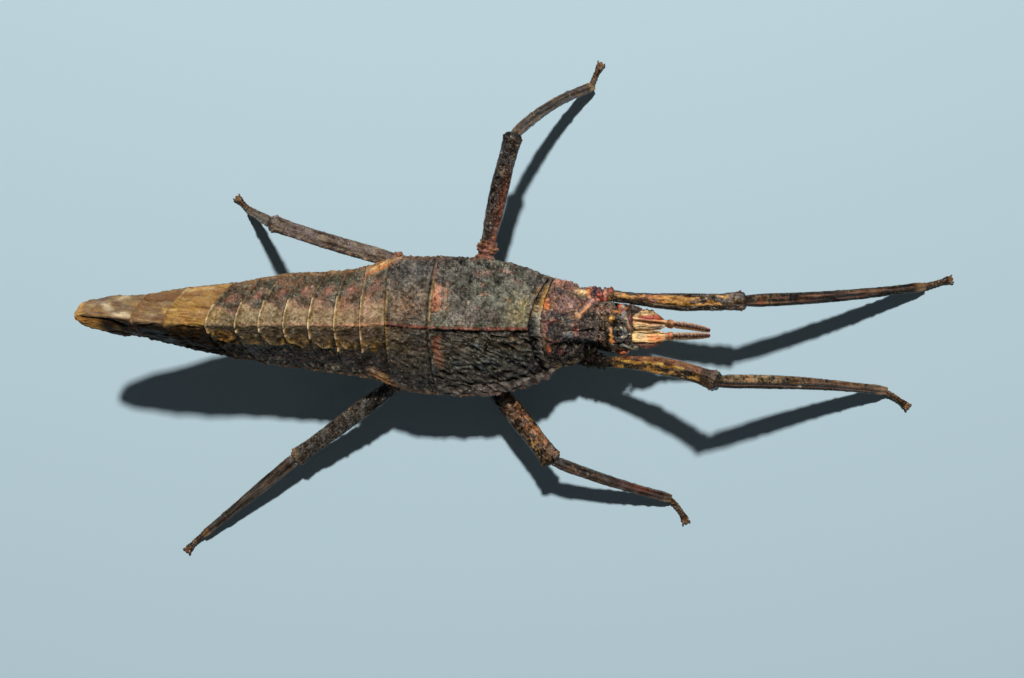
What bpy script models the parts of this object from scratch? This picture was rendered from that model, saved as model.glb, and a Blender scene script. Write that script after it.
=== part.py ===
"""Giant stick insect: a stout, wingless, bark-mimicking female with very short
antennae, as a still life-size model that stands on its six feet.

The head points along +X, the insect's left side is +Y and +Z is up. The feet
rest on z = 0, and the origin is below the middle of the model's box.
All lengths below are in millimetres; they become metres when a mesh is made.
"""

import math

import bmesh
import bpy
from mathutils import Vector

MM = 0.001
GAP = 0.30  # clear joint between neighbouring pieces

# The model's own frame is moved by this much, so that the origin is under the
# middle of its box.
SHIFT_X = -4.58
SHIFT_Y = -5.00

# ---------------------------------------------------------------- body plan
# One row for each place where the body changes, mostly its sutures:
#   x at the keel, left margin, right margin, height of the margins' middle,
#   keel above that middle, belly below it.
BODY_ROWS = (
    (-60.90, 3.75, 2.60, 24.15, 0.45, 0.80),  # end of the tail beak
    (-60.20, 4.80, 2.00, 24.00, 1.00, 1.30),
    (-58.60, 5.30, 1.40, 23.65, 1.85, 1.80),
    (-55.40, 5.90, 0.70, 22.95, 3.35, 2.50),
    (-52.40, 5.95, 0.35, 22.25, 4.55, 3.00),  # root of the tail beak
    (-48.10, 6.75, -0.85, 21.25, 4.80, 3.50),  # tergum 9 to 10
    (-42.70, 7.50, -2.05, 19.95, 4.75, 3.90),  # tergum 8 to 9
    (-38.90, 8.00, -2.90, 19.00, 4.60, 4.10),  # tergum 7 to 8
    (-32.30, 9.25, -4.10, 17.95, 4.40, 4.40),  # tergum 5 to 6
    (-25.30, 9.75, -5.05, 17.00, 4.25, 4.60),  # tergum 3 to 4
    (-21.70, 10.30, -5.60, 16.60, 4.20, 4.70),  # tergum 2 to 3
    (-18.10, 11.50, -6.50, 16.20, 4.10, 4.80),  # median segment to tergum 2
    (-14.90, 11.95, -7.85, 15.80, 4.00, 4.90),
    (-11.90, 12.00, -8.15, 15.50, 3.95, 5.00),  # mesonotum to metanotum
    (-6.00, 11.90, -8.45, 14.85, 3.90, 5.00),  # widest
    (-3.20, 11.55, -8.20, 14.55, 3.85, 4.90),
    (-0.30, 11.10, -7.60, 14.25, 3.80, 4.80),
    (2.60, 10.30, -6.90, 13.65, 3.85, 4.60),  # front end of the mesonotal keel
    (4.80, 9.45, -6.25, 13.10, 2.70, 4.40),  # collar
    (7.00, 8.75, -4.30, 12.30, 2.70, 4.20),
    (9.20, 8.30, -3.95, 11.85, 2.75, 3.90),
    (10.60, 7.20, -3.20, 11.60, 2.60, 3.50),
    (11.60, 6.10, -2.35, 11.50, 2.45, 3.10),
    (13.00, 5.50, -1.90, 11.40, 2.40, 2.90),  # neck
)
# The body leans to its right, and more so towards the tail.
ROLL_DEG = ((-60.90, 16.0), (-42.70, 14.0), (-25.0, 9.5), (-6.0, 7.2), (6.0, 8.0), (13.0, 4.0))
KEEL_LEAN = 0.55  # how far the keel follows the lean

# name, x where it starts at the keel, x where it ends
TERGA = (
    ("abdomen_tip", -60.90, -52.40, 4),
    ("abdomen_10", -52.40, -48.10, 2),
    ("abdomen_9", -48.10, -42.70, 2),
    ("abdomen_8", -42.70, -38.90, 2),
    ("abdomen_7", -38.90, -35.70, 2),
    ("abdomen_6", -35.70, -32.30, 2),
    ("abdomen_5", -32.30, -28.90, 2),
    ("abdomen_4", -28.90, -25.30, 2),
    ("abdomen_3", -25.30, -21.70, 2),
    ("abdomen_2", -21.70, -18.10, 2),
    ("metathorax", -18.10, -12.10, 3),
    ("mesothorax", -12.10, 4.30, 8),
    ("prothorax", 4.30, 12.80, 6),
)
# Each suture bows: at the margins it lies further forward than at the keel.
SUTURE_BOW = (
    (-60.90, 0.0), (-56.0, 0.2), (-52.40, 1.2), (-48.10, 2.4), (-42.70, 3.2), (-38.90, 3.0), (-35.70, 2.75), (-32.30, 2.5), (-28.90, 2.1),
    (-25.30, 1.4), (-21.70, 0.85), (-18.10, 0.5), (-12.10, 1.3), (-4.0, 1.2), (4.20, 2.3), (7.5, 0.9), (12.80, 0.0),
)

MARGIN_EDGE = 0.60  # thickness of the lateral rim
ROOF_FULLNESS = 0.16  # how far the back swells above two flat slopes
BELLY_SQUARE = 0.62  # exponent of the belly's curve: less is boxier

# ------------------------------------------------------------------- head
# x, left side, right side, top, bottom
HEAD_ROWS = (
    (13.10, 4.95, -1.45, 13.55, 8.95),
    (13.90, 5.25, -1.85, 14.10, 8.55),
    (15.20, 5.25, -2.05, 14.45, 8.30),
    (16.60, 5.00, -2.00, 14.35, 8.20),
    (17.60, 4.70, -1.60, 13.70, 8.25),
    (18.20, 4.35, -1.25, 12.60, 8.35),
    (18.70, 4.05, -1.00, 11.40, 8.55),
    (19.80, 3.60, -0.60, 11.00, 8.90),
    (20.60, 2.90, 0.10, 10.60, 9.30),
)
EYE_LENGTH, EYE_WIDTH, EYE_HEIGHT = 1.95, 1.15, 1.55
EYES = (("eye_left", 16.65, 4.72, 12.05), ("eye_right", 16.65, -1.78, 11.75))

SCAPE_X0, SCAPE_X1 = 18.55, 22.85
SCAPE_THICK = 1.30
# name, height
SCAPES = (("scape_left", 12.70), ("scape_right", 12.55))
# x, y of the edge beside the other feeler, y of the outer edge
SCAPE_EDGES = {
    "scape_left": ((17.80, 2.35, 2.85), (18.15, 1.75, 3.45), (18.50, 1.52, 3.78), (19.20, 1.46, 4.22), (20.00, 1.45, 4.38), (20.90, 1.46, 4.22), (21.50, 1.52, 3.85), (22.20, 1.68, 3.25), (22.85, 1.98, 2.75)),
    "scape_right": ((17.80, 0.65, 0.00), (18.15, 0.98, -0.55), (18.50, 1.10, -0.95), (19.20, 1.13, -1.30), (20.00, 1.14, -1.40), (20.80, 1.12, -1.28), (21.60, 1.06, -0.95), (22.30, 0.95, -0.50), (22.85, 0.75, -0.10)),
}
ANTENNA_X0, ANTENNA_X1 = 23.15, 29.40
ANTENNAE = (("antenna_left", 2.35, 1.33, 12.75), ("antenna_right", 0.42, 0.55, 12.65))

# ------------------------------------------------------------------- legs
# name, coxa root, hip, knee, ankle, toe: (x, y, z) of each joint's middle
LEGS = (
    ("fore_left", (9.4, 6.2, 9.8), (14.9, 6.55, 11.5), (33.9, 5.6, 16.2), (65.1, 8.3, 1.05), (69.9, 9.5, 0.30)),
    ("fore_right", (9.0, -2.0, 9.0), (13.9, -3.55, 10.3), (29.3, -6.1, 20.2), (59.0, -8.2, 1.05), (63.0, -10.7, 0.30)),
    ("mid_left", (-5.0, 7.6, 11.0), (-3.6, 14.2, 12.0), (0.2, 29.9, 15.7), (12.5, 40.0, 1.05), (14.1, 43.7, 0.30)),
    ("mid_right", (-6.5, -2.6, 10.6), (-4.5, -5.5, 6.9), (6.05, -18.4, 9.9), (24.8, -25.2, 1.05), (27.7, -29.0, 0.30)),
    ("hind_left", (-13.0, 9.6, 11.6), (-17.6, 11.8, 12.8), (-34.9, 16.85, 17.3), (-41.6, 20.4, 1.05), (-43.7, 22.4, 0.30)),
    ("hind_right", (-16.2, -3.4, 11.2), (-18.3, -7.3, 9.1), (-33.4, -18.4, 4.5), (-48.8, -30.9, 1.05), (-51.7, -33.6, 0.30)),
)
# Sideways bow of femur and tibia at their middles.
BOWS = {
    "fore_left": ((0, -0.55, 0), (0, -0.40, 0.2)),
    "fore_right": ((0, 0.90, 0), (0, 0.45, 0.2)),
    "mid_left": ((-0.2, 0, 0), (-0.45, 0.70, 0)),
    "mid_right": ((0.1, 0.1, 0), (-0.1, -0.30, 0.2)),
    "hind_left": ((0, -0.2, 0.2), (0, 0, 0)),
    "hind_right": ((0, 0, 0.2), (0, 0, 0.2)),
}
TARSUS_BOW = {
    "fore_left": (0, -0.05, -0.22),
    "fore_right": (0.1, 0.15, -0.22),
    "mid_left": (-0.05, 0.0, -0.22),
    "mid_right": (0.25, 0.2, -0.22),
    "hind_left": (0, -0.1, -0.22),
    "hind_right": (-0.1, 0.1, -0.22),
}
# fraction of the length, width, height
COXA_SHAPE = ((0.0, 3.3, 3.1), (0.6, 3.2, 2.9), (0.78, 2.5, 2.4), (0.9, 3.1, 2.6), (1.0, 2.4, 2.2))
COXA_SLIM = ((0.0, 2.9, 2.8), (0.6, 2.85, 2.6), (0.78, 2.35, 2.2), (0.9, 2.4, 2.3), (1.0, 1.9, 1.9))
FEMUR_FORE = ((0.0, 1.50, 1.7), (0.15, 1.75, 2.1), (0.35, 2.2, 2.5), (0.55, 2.65, 2.7), (0.85, 2.5, 2.5), (0.95, 2.8, 2.7), (1.0, 2.6, 2.6))
FEMUR_MID = ((0.0, 2.0, 2.0), (0.2, 2.6, 2.4), (0.5, 2.95, 2.6), (0.85, 2.75, 2.5), (0.95, 3.0, 2.7), (1.0, 2.8, 2.5))
FEMUR_HIND = ((0.0, 2.0, 2.0), (0.2, 2.4, 2.3), (0.5, 2.35, 2.3), (0.85, 2.2, 2.1), (0.95, 2.45, 2.4), (1.0, 2.3, 2.3))
TIBIAE = {
    "fore_left": ((0.0, 1.60, 1.55), (0.04, 1.80, 1.7), (0.10, 2.00, 1.85), (0.35, 1.90, 1.85), (0.6, 1.75, 1.7), (0.85, 1.50, 1.5), (0.96, 1.60, 1.45), (1.0, 1.35, 1.3)),
    "fore_right": ((0.0, 1.65, 1.6), (0.04, 1.85, 1.8), (0.10, 2.05, 1.95), (0.3, 2.10, 2.0), (0.6, 1.80, 1.75), (0.85, 1.55, 1.5), (0.96, 1.60, 1.45), (1.0, 1.35, 1.3)),
    "mid_left": ((0.0, 1.25, 1.3), (0.05, 1.50, 1.5), (0.12, 1.62, 1.6), (0.5, 1.52, 1.5), (0.8, 1.42, 1.4), (0.96, 1.50, 1.4), (1.0, 1.30, 1.25)),
    "mid_right": ((0.0, 1.35, 1.4), (0.05, 1.60, 1.6), (0.12, 1.78, 1.7), (0.5, 1.66, 1.6), (0.8, 1.50, 1.45), (0.96, 1.55, 1.45), (1.0, 1.30, 1.25)),
    "hind_left": ((0.0, 1.50, 1.5), (0.06, 1.70, 1.7), (0.2, 1.62, 1.6), (0.6, 1.36, 1.4), (0.85, 1.18, 1.2), (0.96, 1.22, 1.2), (1.0, 1.10, 1.1)),
    "hind_right": ((0.0, 1.70, 1.6), (0.06, 2.00, 1.9), (0.2, 2.05, 1.95), (0.5, 1.75, 1.7), (0.8, 1.36, 1.35), (0.96, 1.22, 1.2), (1.0, 1.08, 1.1)),
}
TARSUS_SHAPE = ((0.0, 0.85, 0.95), (0.35, 0.85, 0.9), (0.7, 0.95, 0.9), (0.88, 1.35, 0.95), (1.0, 1.1, 0.7))
FEMURS = {"fore": FEMUR_FORE, "mid": FEMUR_MID, "hind": FEMUR_HIND}
# how stout each thigh is beside its pair's table
STOUT = {"fore_left": 1.0, "fore_right": 1.0, "mid_left": 0.94, "mid_right": 1.10, "hind_left": 1.0, "hind_right": 1.16}

# ---------------------------------------------------------------- finishes
# base colour, roughness
FINISH = {
    "back": ((0.060, 0.046, 0.034), 0.62),
    "abdomen": ((0.135, 0.088, 0.043), 0.58),
    "tail": ((0.330, 0.185, 0.075), 0.50),
    "pronotum": ((0.105, 0.045, 0.032), 0.60),
    "head": ((0.070, 0.045, 0.036), 0.55),
    "eye": ((0.260, 0.055, 0.016), 0.18),
    "scape": ((0.600, 0.330, 0.150), 0.50),
    "antenna": ((0.300, 0.105, 0.050), 0.50),
    "coxa": ((0.160, 0.060, 0.040), 0.60),
    "fore_femur": ((0.240, 0.130, 0.035), 0.55),
    "femur": ((0.075, 0.045, 0.028), 0.60),
    "tibia": ((0.060, 0.038, 0.025), 0.60),
    "tarsus": ((0.110, 0.070, 0.030), 0.60),
}


def table(rows, x, column):
    """Monotone cubic reading of one column of a table whose first column rises."""
    xs = [row[0] for row in rows]
    ys = [row[column] for row in rows]
    if x <= xs[0]:
        return ys[0]
    if x >= xs[-1]:
        return ys[-1]
    slopes = [(ys[i + 1] - ys[i]) / (xs[i + 1] - xs[i]) for i in range(len(xs) - 1)]
    i = max(k for k in range(len(xs) - 1) if xs[k] <= x)

    def tangent(k):
        if k == 0:
            return slopes[0]
        if k == len(xs) - 1:
            return slopes[-1]
        a, b = slopes[k - 1], slopes[k]
        return 0.0 if a * b <= 0 else 2 * a * b / (a + b)

    h = xs[i + 1] - xs[i]
    t = (x - xs[i]) / h
    return (
        (2 * t**3 - 3 * t**2 + 1) * ys[i]
        + (t**3 - 2 * t**2 + t) * h * tangent(i)
        + (-2 * t**3 + 3 * t**2) * ys[i + 1]
        + (t**3 - t**2) * h * tangent(i + 1)
    )


def body_point(x, turn, swell=0.0):
    """A point of the body's surface: turn 0 right margin, 0.25 keel, 0.5 left margin, 0.75 belly."""
    left, right = table(BODY_ROWS, x, 1), table(BODY_ROWS, x, 2)
    middle, rise, drop = (table(BODY_ROWS, x, k) for k in (3, 4, 5))
    roll = math.radians(table(ROLL_DEG, x, 1))
    half = (left - right) / 2
    centre_y = (left + right) / 2
    if turn <= 0.5:
        across = (turn - 0.25) / 0.25
        up = 1 - abs(across)
        y = half * across
        z = rise * (up + ROOF_FULLNESS * math.sin(math.pi * up))
    else:
        angle = math.pi * (turn - 0.5) / 0.5
        y = half * 0.985 * math.copysign(abs(math.cos(angle)) ** 0.8, math.cos(angle))
        z = -min(MARGIN_EDGE, 0.8 * drop) - (drop - min(MARGIN_EDGE, 0.8 * drop)) * math.sin(angle) ** BELLY_SQUARE
    if swell:
        reach = math.hypot(y, z) or 1.0
        y, z = y * (1 + swell / reach), z * (1 + swell / reach)
    lean = roll * KEEL_LEAN if z > 0 else roll
    return Vector((x, centre_y + y - z * math.tan(lean), middle + z + y * math.tan(roll)))


RING = [k / 20 for k in range(11)] + [0.5 + k / 22 for k in range(1, 11)]


def suture_x(s, turn):
    """Where the ring whose keel is at s passes at this turn."""
    if turn <= 0.5:
        side = abs(turn - 0.25) / 0.25
    else:
        side = 1 - 0.75 * math.sin(math.pi * (turn - 0.5) / 0.5)
    return s + table(SUTURE_BOW, s, 1) * side**1.5


def body_ring(s, swell=0.0):
    return [body_point(suture_x(s, turn), turn, swell) for turn in RING]


def mean(points):
    total = Vector()
    for point in points:
        total += point
    return total / len(points)


def loft(name, rings, finish):
    """Closed skin over rings that all have the same number of points."""
    mesh = bpy.data.meshes.new(name)
    bm = bmesh.new()
    rows = [[bm.verts.new((p + Vector((SHIFT_X, SHIFT_Y, 0))) * MM) for p in ring] for ring in rings]
    count = len(rows[0])
    for a, b in zip(rows, rows[1:]):
        for i in range(count):
            j = (i + 1) % count
            bm.faces.new((a[i], a[j], b[j], b[i]))
    for row, ring in ((rows[0], rings[0]), (rows[-1], rings[-1])):
        tip = bm.verts.new((mean(ring) + Vector((SHIFT_X, SHIFT_Y, 0))) * MM)
        for i in range(count):
            bm.faces.new((row[i], row[(i + 1) % count], tip))
    bmesh.ops.recalc_face_normals(bm, faces=bm.faces)
    if bm.calc_volume(signed=True) < 0:
        bmesh.ops.reverse_faces(bm, faces=bm.faces)
    bm.to_mesh(mesh)
    bm.free()
    mesh.shade_smooth()
    mesh.set_sharp_from_angle(angle=math.radians(42))
    obj = bpy.data.objects.new(name, mesh)
    bpy.context.scene.collection.objects.link(obj)
    obj.data.materials.append(material(name, finish))
    return obj


def material(name, finish):
    colour, roughness = FINISH[finish]
    mat = bpy.data.materials.new(name)
    mat.use_nodes = True
    shader = mat.node_tree.nodes["Principled BSDF"]
    shader.inputs["Base Color"].default_value = (*colour, 1.0)
    shader.inputs["Roughness"].default_value = roughness
    shader.inputs["Metallic"].default_value = 0.0
    return mat


def cut(obj, cutter):
    modifier = obj.modifiers.new("clear_" + cutter.name, "BOOLEAN")
    modifier.operation = "DIFFERENCE"
    modifier.solver = "EXACT"
    modifier.object = cutter


def as_cutter(obj):
    obj.hide_render = True
    obj.display_type = "WIRE"
    return obj


def section(centre, across, upward, width, height, sides, square=0.85):
    """A rounded-square ring whose lowest side is flat."""
    ring = []
    for k in range(sides):
        angle = 2 * math.pi * (k + 0.5) / sides
        c, s = math.cos(angle), math.sin(angle)
        u = math.copysign(abs(c) ** square, c)
        v = math.copysign(abs(s) ** square, s)
        ring.append(centre + across * (u * width / 2) + upward * (v * height / 2))
    return ring


def arc_point(start, bow, end, t):
    """A point of the shallow arc from start to end that is bow off its chord at the middle."""
    return start.lerp(end, t) + bow * (4 * t * (1 - t))


def limb(name, start, bow, end, shape, finish, planes, steps, sides=8, floor=None):
    """A leg segment: rings along a shallow arc, its ends trimmed to the joints' planes.

    planes holds a (point, normal) for each end, or None; a normal points out of the segment.
    """
    start, bow, end = Vector(start), Vector(bow), Vector(end)
    rings = []
    for k in range(steps + 1):
        t = k / steps
        centre = arc_point(start, bow, end, t)
        tangent = (arc_point(start, bow, end, min(1, t + 0.02)) - arc_point(start, bow, end, max(0, t - 0.02))).normalized()
        across = tangent.cross(Vector((0, 0, 1))).normalized()
        upward = across.cross(tangent).normalized()
        ring = section(centre, across, upward, table(shape, t, 1), table(shape, t, 2), sides)
        for which, plane in enumerate(planes):
            if plane is None:
                continue
            point, normal = plane
            inset = 0.12 * (k if which == 0 else steps - k)
            at_end = k == (0 if which == 0 else steps)
            for i, q in enumerate(ring):
                beyond = (q - point).dot(normal) + inset
                if beyond > 0 or at_end:
                    ring[i] = q - tangent * (beyond / tangent.dot(normal))
        if floor is not None:
            for q in ring:
                q.z = max(q.z, floor)
        rings.append(ring)
    return loft(name, rings, finish)


def joint_plane(point, before, after, side):
    """The plane that halves a joint's angle, moved half a gap towards one side of it."""
    normal = (before.normalized() + after.normalized()).normalized()
    return (point - normal * (GAP / 2), normal) if side < 0 else (point + normal * (GAP / 2), -normal)


def make_body():
    whole = [body_ring(-60.9 + k * 73.9 / 60, GAP) for k in range(61)]
    clearance = as_cutter(loft("body_clearance", whole, "back"))
    for name, x0, x1, steps in TERGA:
        finish = "tail" if name in ("abdomen_tip", "abdomen_10", "abdomen_9") else "abdomen" if name.startswith("abdomen") else "back"
        if name == "prothorax":
            finish = "pronotum"
        start = x0 + (0 if name == "abdomen_tip" else GAP / 2)
        end = x1 - GAP / 2
        stations = [start + (end - start) * k / steps for k in range(steps + 1)]
        if name == "abdomen_tip":
            stations = [start, start + 0.7, start + 2.3, start + 5.2, end]
        loft(name, [body_ring(s) for s in stations], finish)
    return clearance


def make_head():
    rings = []
    for x, left, right, top, bottom in HEAD_ROWS:
        half, tall = (left - right) / 2, (top - bottom) / 2
        centre = Vector((x, (left + right) / 2, (top + bottom) / 2))
        lean = math.radians(5.0)
        across = Vector((0, math.cos(lean), math.sin(lean)))
        upward = Vector((0, -math.sin(lean), math.cos(lean)))
        rings.append(section(centre, across, upward, 2 * half, 2 * tall, 18, 0.80))
    head = loft("head", rings, "head")
    for name, x, y, z in EYES:
        for swell in (0.0, GAP):
            rings = []
            for k in range(1, 10):
                angle = math.pi * k / 10
                centre = Vector((x - math.cos(angle) * (EYE_LENGTH / 2 + swell), y, z))
                size = math.sin(angle)
                rings.append(
                    section(centre, Vector((0, 1, 0)), Vector((0, 0, 1)), (EYE_WIDTH + 2 * swell) * size, (EYE_HEIGHT + 2 * swell) * size, 14, 1.0)
                )
            if swell:
                cut(head, as_cutter(loft(name + "_socket", rings, "head")))
            else:
                loft(name, rings, "eye")


def make_feelers():
    # Each scape is a broad flat plate, straight along the inner side, that narrows towards the antenna.
    for name, z in SCAPES:
        rings = []
        for k in range(10):
            t = k / 9
            x = SCAPE_X0 + (SCAPE_X1 - SCAPE_X0) * t
            inner, outer = table(SCAPE_EDGES[name], x, 1), table(SCAPE_EDGES[name], x, 2)
            thick = SCAPE_THICK * (0.75 + 0.25 * math.sin(math.pi * min(1, t * 1.3)))
            rings.append(section(Vector((x, (inner + outer) / 2, z)), Vector((0, 1, 0)), Vector((0, 0, 1)), abs(outer - inner), thick, 12, 0.9))
        loft(name, rings, "scape")
    girth = ((0.0, 0.80), (0.06, 1.05), (0.13, 1.0), (0.17, 0.62), (0.24, 0.85), (0.6, 0.82), (0.85, 0.70), (1.0, 0.52))
    for name, y0, y1, z in ANTENNAE:
        rings = []
        for k in range(17):
            t = k / 16
            centre = Vector((ANTENNA_X0 + (ANTENNA_X1 - ANTENNA_X0) * t, y0 + (y1 - y0) * t, z))
            rings.append(section(centre, Vector((0, 1, 0)), Vector((0, 0, 1)), table(girth, t, 1), table(girth, t, 1), 8, 1.0))
        loft(name, rings, "antenna")


def make_legs(clearance):
    for name, root, hip, knee, ankle, toe in LEGS:
        pair = name.split("_")[0]
        root, hip, knee, ankle, toe = (Vector(p) for p in (root, hip, knee, ankle, toe))
        bows = BOWS[name]
        d0, d1, d2, d3 = hip - root, knee - hip, ankle - knee, toe - ankle
        coxa = limb("coxa_" + name, root, (0, 0, 0), hip, COXA_SLIM if pair == "fore" else COXA_SHAPE, "coxa", (None, joint_plane(hip, d0, d1, -1)), 5, 10)
        cut(coxa, clearance)
        thigh = tuple((at, wide * STOUT[name], tall * STOUT[name]) for at, wide, tall in FEMURS[pair])
        limb("femur_" + name, hip, bows[0], knee, thigh, "fore_femur" if pair == "fore" else "femur", (joint_plane(hip, d0, d1, 1), joint_plane(knee, d1, d2, -1)), 10)
        limb("tibia_" + name, knee, bows[1], ankle, TIBIAE[name], "tibia", (joint_plane(knee, d1, d2, 1), joint_plane(ankle, d2, d3, -1)), 12, floor=0.12)
        limb("tarsus_" + name, ankle, TARSUS_BOW[name], toe, TARSUS_SHAPE, "tarsus", (joint_plane(ankle, d2, d3, 1), None), 8, floor=0.0)


for old in list(bpy.data.objects):
    bpy.data.objects.remove(old, do_unlink=True)

body = make_body()
make_head()
make_feelers()
make_legs(body)
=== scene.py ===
"""Giant stick insect: the looks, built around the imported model.

Every surface is a fine grid laid over the same shapes as the solids, given its
relief (bark-like granules, wrinkles, keels, cross ridges, tubercles) as real
geometry, and painted by functions of its own place on the animal.
Lengths are in millimetres until a mesh is made. The model's head is at +X and
its left side at +Y.
"""

import math

import bpy
import numpy as np
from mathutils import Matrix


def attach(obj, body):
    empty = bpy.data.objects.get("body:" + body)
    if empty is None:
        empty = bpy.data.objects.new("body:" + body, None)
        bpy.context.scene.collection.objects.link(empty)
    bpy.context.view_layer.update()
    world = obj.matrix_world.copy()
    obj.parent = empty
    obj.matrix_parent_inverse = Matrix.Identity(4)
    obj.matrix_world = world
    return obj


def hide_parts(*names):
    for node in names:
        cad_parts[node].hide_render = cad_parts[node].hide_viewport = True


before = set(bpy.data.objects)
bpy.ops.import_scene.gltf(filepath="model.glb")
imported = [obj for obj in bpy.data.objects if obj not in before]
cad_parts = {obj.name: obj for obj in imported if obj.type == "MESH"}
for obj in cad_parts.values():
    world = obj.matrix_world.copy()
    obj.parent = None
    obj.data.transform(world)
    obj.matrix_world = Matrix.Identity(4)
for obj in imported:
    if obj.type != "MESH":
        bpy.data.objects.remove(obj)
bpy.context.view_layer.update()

MM = 0.001
SHIFT = np.array((-4.58, -5.00, 0.0))

# ------------------------------------------------------------ shared shapes
BODY_ROWS = (
    (-60.90, 3.75, 2.60, 24.15, 0.45, 0.80),
    (-60.20, 4.80, 2.00, 24.00, 1.00, 1.30),
    (-58.60, 5.30, 1.40, 23.65, 1.85, 1.80),
    (-55.40, 5.90, 0.70, 22.95, 3.35, 2.50),
    (-52.40, 5.95, 0.35, 22.25, 4.55, 3.00),
    (-48.10, 6.75, -0.85, 21.25, 4.80, 3.50),
    (-42.70, 7.50, -2.05, 19.95, 4.75, 3.90),
    (-38.90, 8.00, -2.90, 19.00, 4.60, 4.10),
    (-32.30, 9.25, -4.10, 17.95, 4.40, 4.40),
    (-25.30, 9.75, -5.05, 17.00, 4.25, 4.60),
    (-21.70, 10.30, -5.60, 16.60, 4.20, 4.70),
    (-18.10, 11.50, -6.50, 16.20, 4.10, 4.80),
    (-14.90, 11.95, -7.85, 15.80, 4.00, 4.90),
    (-11.90, 12.00, -8.15, 15.50, 3.95, 5.00),
    (-6.00, 11.90, -8.45, 14.85, 3.90, 5.00),
    (-3.20, 11.55, -8.20, 14.55, 3.85, 4.90),
    (-0.30, 11.10, -7.60, 14.25, 3.80, 4.80),
    (2.60, 10.30, -6.90, 13.65, 3.85, 4.60),
    (4.80, 9.45, -6.25, 13.10, 2.70, 4.40),
    (7.00, 8.75, -4.30, 12.30, 2.70, 4.20),
    (9.20, 8.30, -3.95, 11.85, 2.75, 3.90),
    (10.60, 7.20, -3.20, 11.60, 2.60, 3.50),
    (11.60, 6.10, -2.35, 11.50, 2.45, 3.10),
    (13.00, 5.50, -1.90, 11.40, 2.40, 2.90),
)
ROLL_DEG = ((-60.90, 16.0), (-42.70, 14.0), (-25.0, 9.5), (-6.0, 7.2), (6.0, 8.0), (13.0, 4.0))
KEEL_LEAN = 0.55
SUTURE_BOW = (
    (-60.90, 0.0), (-56.0, 0.2), (-52.40, 1.2), (-48.10, 2.4), (-42.70, 3.2), (-38.90, 3.0), (-35.70, 2.75), (-32.30, 2.5), (-28.90, 2.1),
    (-25.30, 1.4), (-21.70, 0.85), (-18.10, 0.5), (-12.10, 1.3), (-4.0, 1.2), (4.20, 2.3), (7.5, 0.9), (12.80, 0.0),
)
MARGIN_EDGE, ROOF_FULLNESS, BELLY_SQUARE = 0.60, 0.16, 0.62

TERGA = (
    ("abdomen_tip", -60.90, -52.40),
    ("abdomen_10", -52.40, -48.10),
    ("abdomen_9", -48.10, -42.70),
    ("abdomen_8", -42.70, -38.90),
    ("abdomen_7", -38.90, -35.70),
    ("abdomen_6", -35.70, -32.30),
    ("abdomen_5", -32.30, -28.90),
    ("abdomen_4", -28.90, -25.30),
    ("abdomen_3", -25.30, -21.70),
    ("abdomen_2", -21.70, -18.10),
    ("metathorax", -18.10, -12.10),
    ("mesothorax", -12.10, 4.30),
    ("prothorax", 4.30, 12.90),
)

HEAD_ROWS = (
    (12.10, 4.80, -0.80, 13.05, 9.55),
    (13.10, 5.36, -1.45, 13.55, 8.95),
    (13.90, 5.62, -1.80, 14.10, 8.55),
    (15.20, 5.60, -1.95, 14.45, 8.30),
    (16.60, 5.16, -1.90, 14.35, 8.20),
    (17.60, 4.70, -1.60, 13.70, 8.25),
    (18.20, 4.35, -1.25, 12.60, 8.35),
    (18.70, 4.05, -1.00, 11.40, 8.55),
    (19.80, 3.60, -0.60, 11.00, 8.90),
    (20.60, 2.90, 0.10, 10.60, 9.30),
)
EYE_LENGTH, EYE_WIDTH, EYE_HEIGHT = 1.95, 1.15, 1.55
EYES = (("eye_left", 16.65, 4.72, 12.05, 1), ("eye_right", 16.65, -1.78, 11.75, -1))
SCAPE_X0, SCAPE_X1, SCAPE_THICK = 18.55, 22.85, 1.30
SCAPES = (("scape_left", 12.70, 1), ("scape_right", 12.55, -1))
SCAPE_EDGES = {
    "scape_left": ((17.80, 2.35, 2.85), (18.15, 1.75, 3.45), (18.50, 1.44, 3.78), (19.20, 1.36, 4.22), (20.00, 1.34, 4.38), (20.90, 1.34, 4.22), (21.50, 1.36, 3.90), (22.20, 1.44, 3.35), (22.60, 1.72, 3.02), (22.85, 1.98, 2.75)),
    "scape_right": ((17.80, 0.65, 0.00), (18.15, 1.02, -0.55), (18.50, 1.20, -0.95), (19.20, 1.25, -1.30), (20.00, 1.26, -1.40), (20.80, 1.26, -1.30), (21.60, 1.24, -1.00), (22.30, 1.12, -0.58), (22.85, 0.78, -0.10)),
}
ANTENNA_X0, ANTENNA_X1 = 23.15, 29.40
ANTENNAE = (("antenna_left", 2.35, 1.33, 12.75), ("antenna_right", 0.42, 0.55, 12.65))

LEGS = (
    ("fore_left", (9.4, 6.2, 9.8), (14.9, 6.55, 11.5), (33.9, 5.6, 16.2), (65.1, 8.3, 1.05), (69.9, 9.5, 0.30)),
    ("fore_right", (9.0, -2.0, 9.0), (13.9, -3.55, 10.3), (29.3, -6.1, 20.2), (59.0, -8.2, 1.05), (63.0, -10.7, 0.30)),
    ("mid_left", (-5.0, 7.6, 11.0), (-3.6, 14.2, 12.0), (0.2, 29.9, 15.7), (12.5, 40.0, 1.05), (14.1, 43.7, 0.30)),
    ("mid_right", (-6.5, -2.6, 10.6), (-4.5, -5.5, 6.9), (6.05, -18.4, 9.9), (24.8, -25.2, 1.05), (27.7, -29.0, 0.30)),
    ("hind_left", (-13.0, 9.6, 11.6), (-17.6, 11.8, 12.8), (-34.9, 16.85, 17.3), (-41.6, 20.4, 1.05), (-43.7, 22.4, 0.30)),
    ("hind_right", (-16.2, -3.4, 11.2), (-18.3, -7.3, 9.1), (-33.4, -18.4, 4.5), (-48.8, -30.9, 1.05), (-51.7, -33.6, 0.30)),
)
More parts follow.
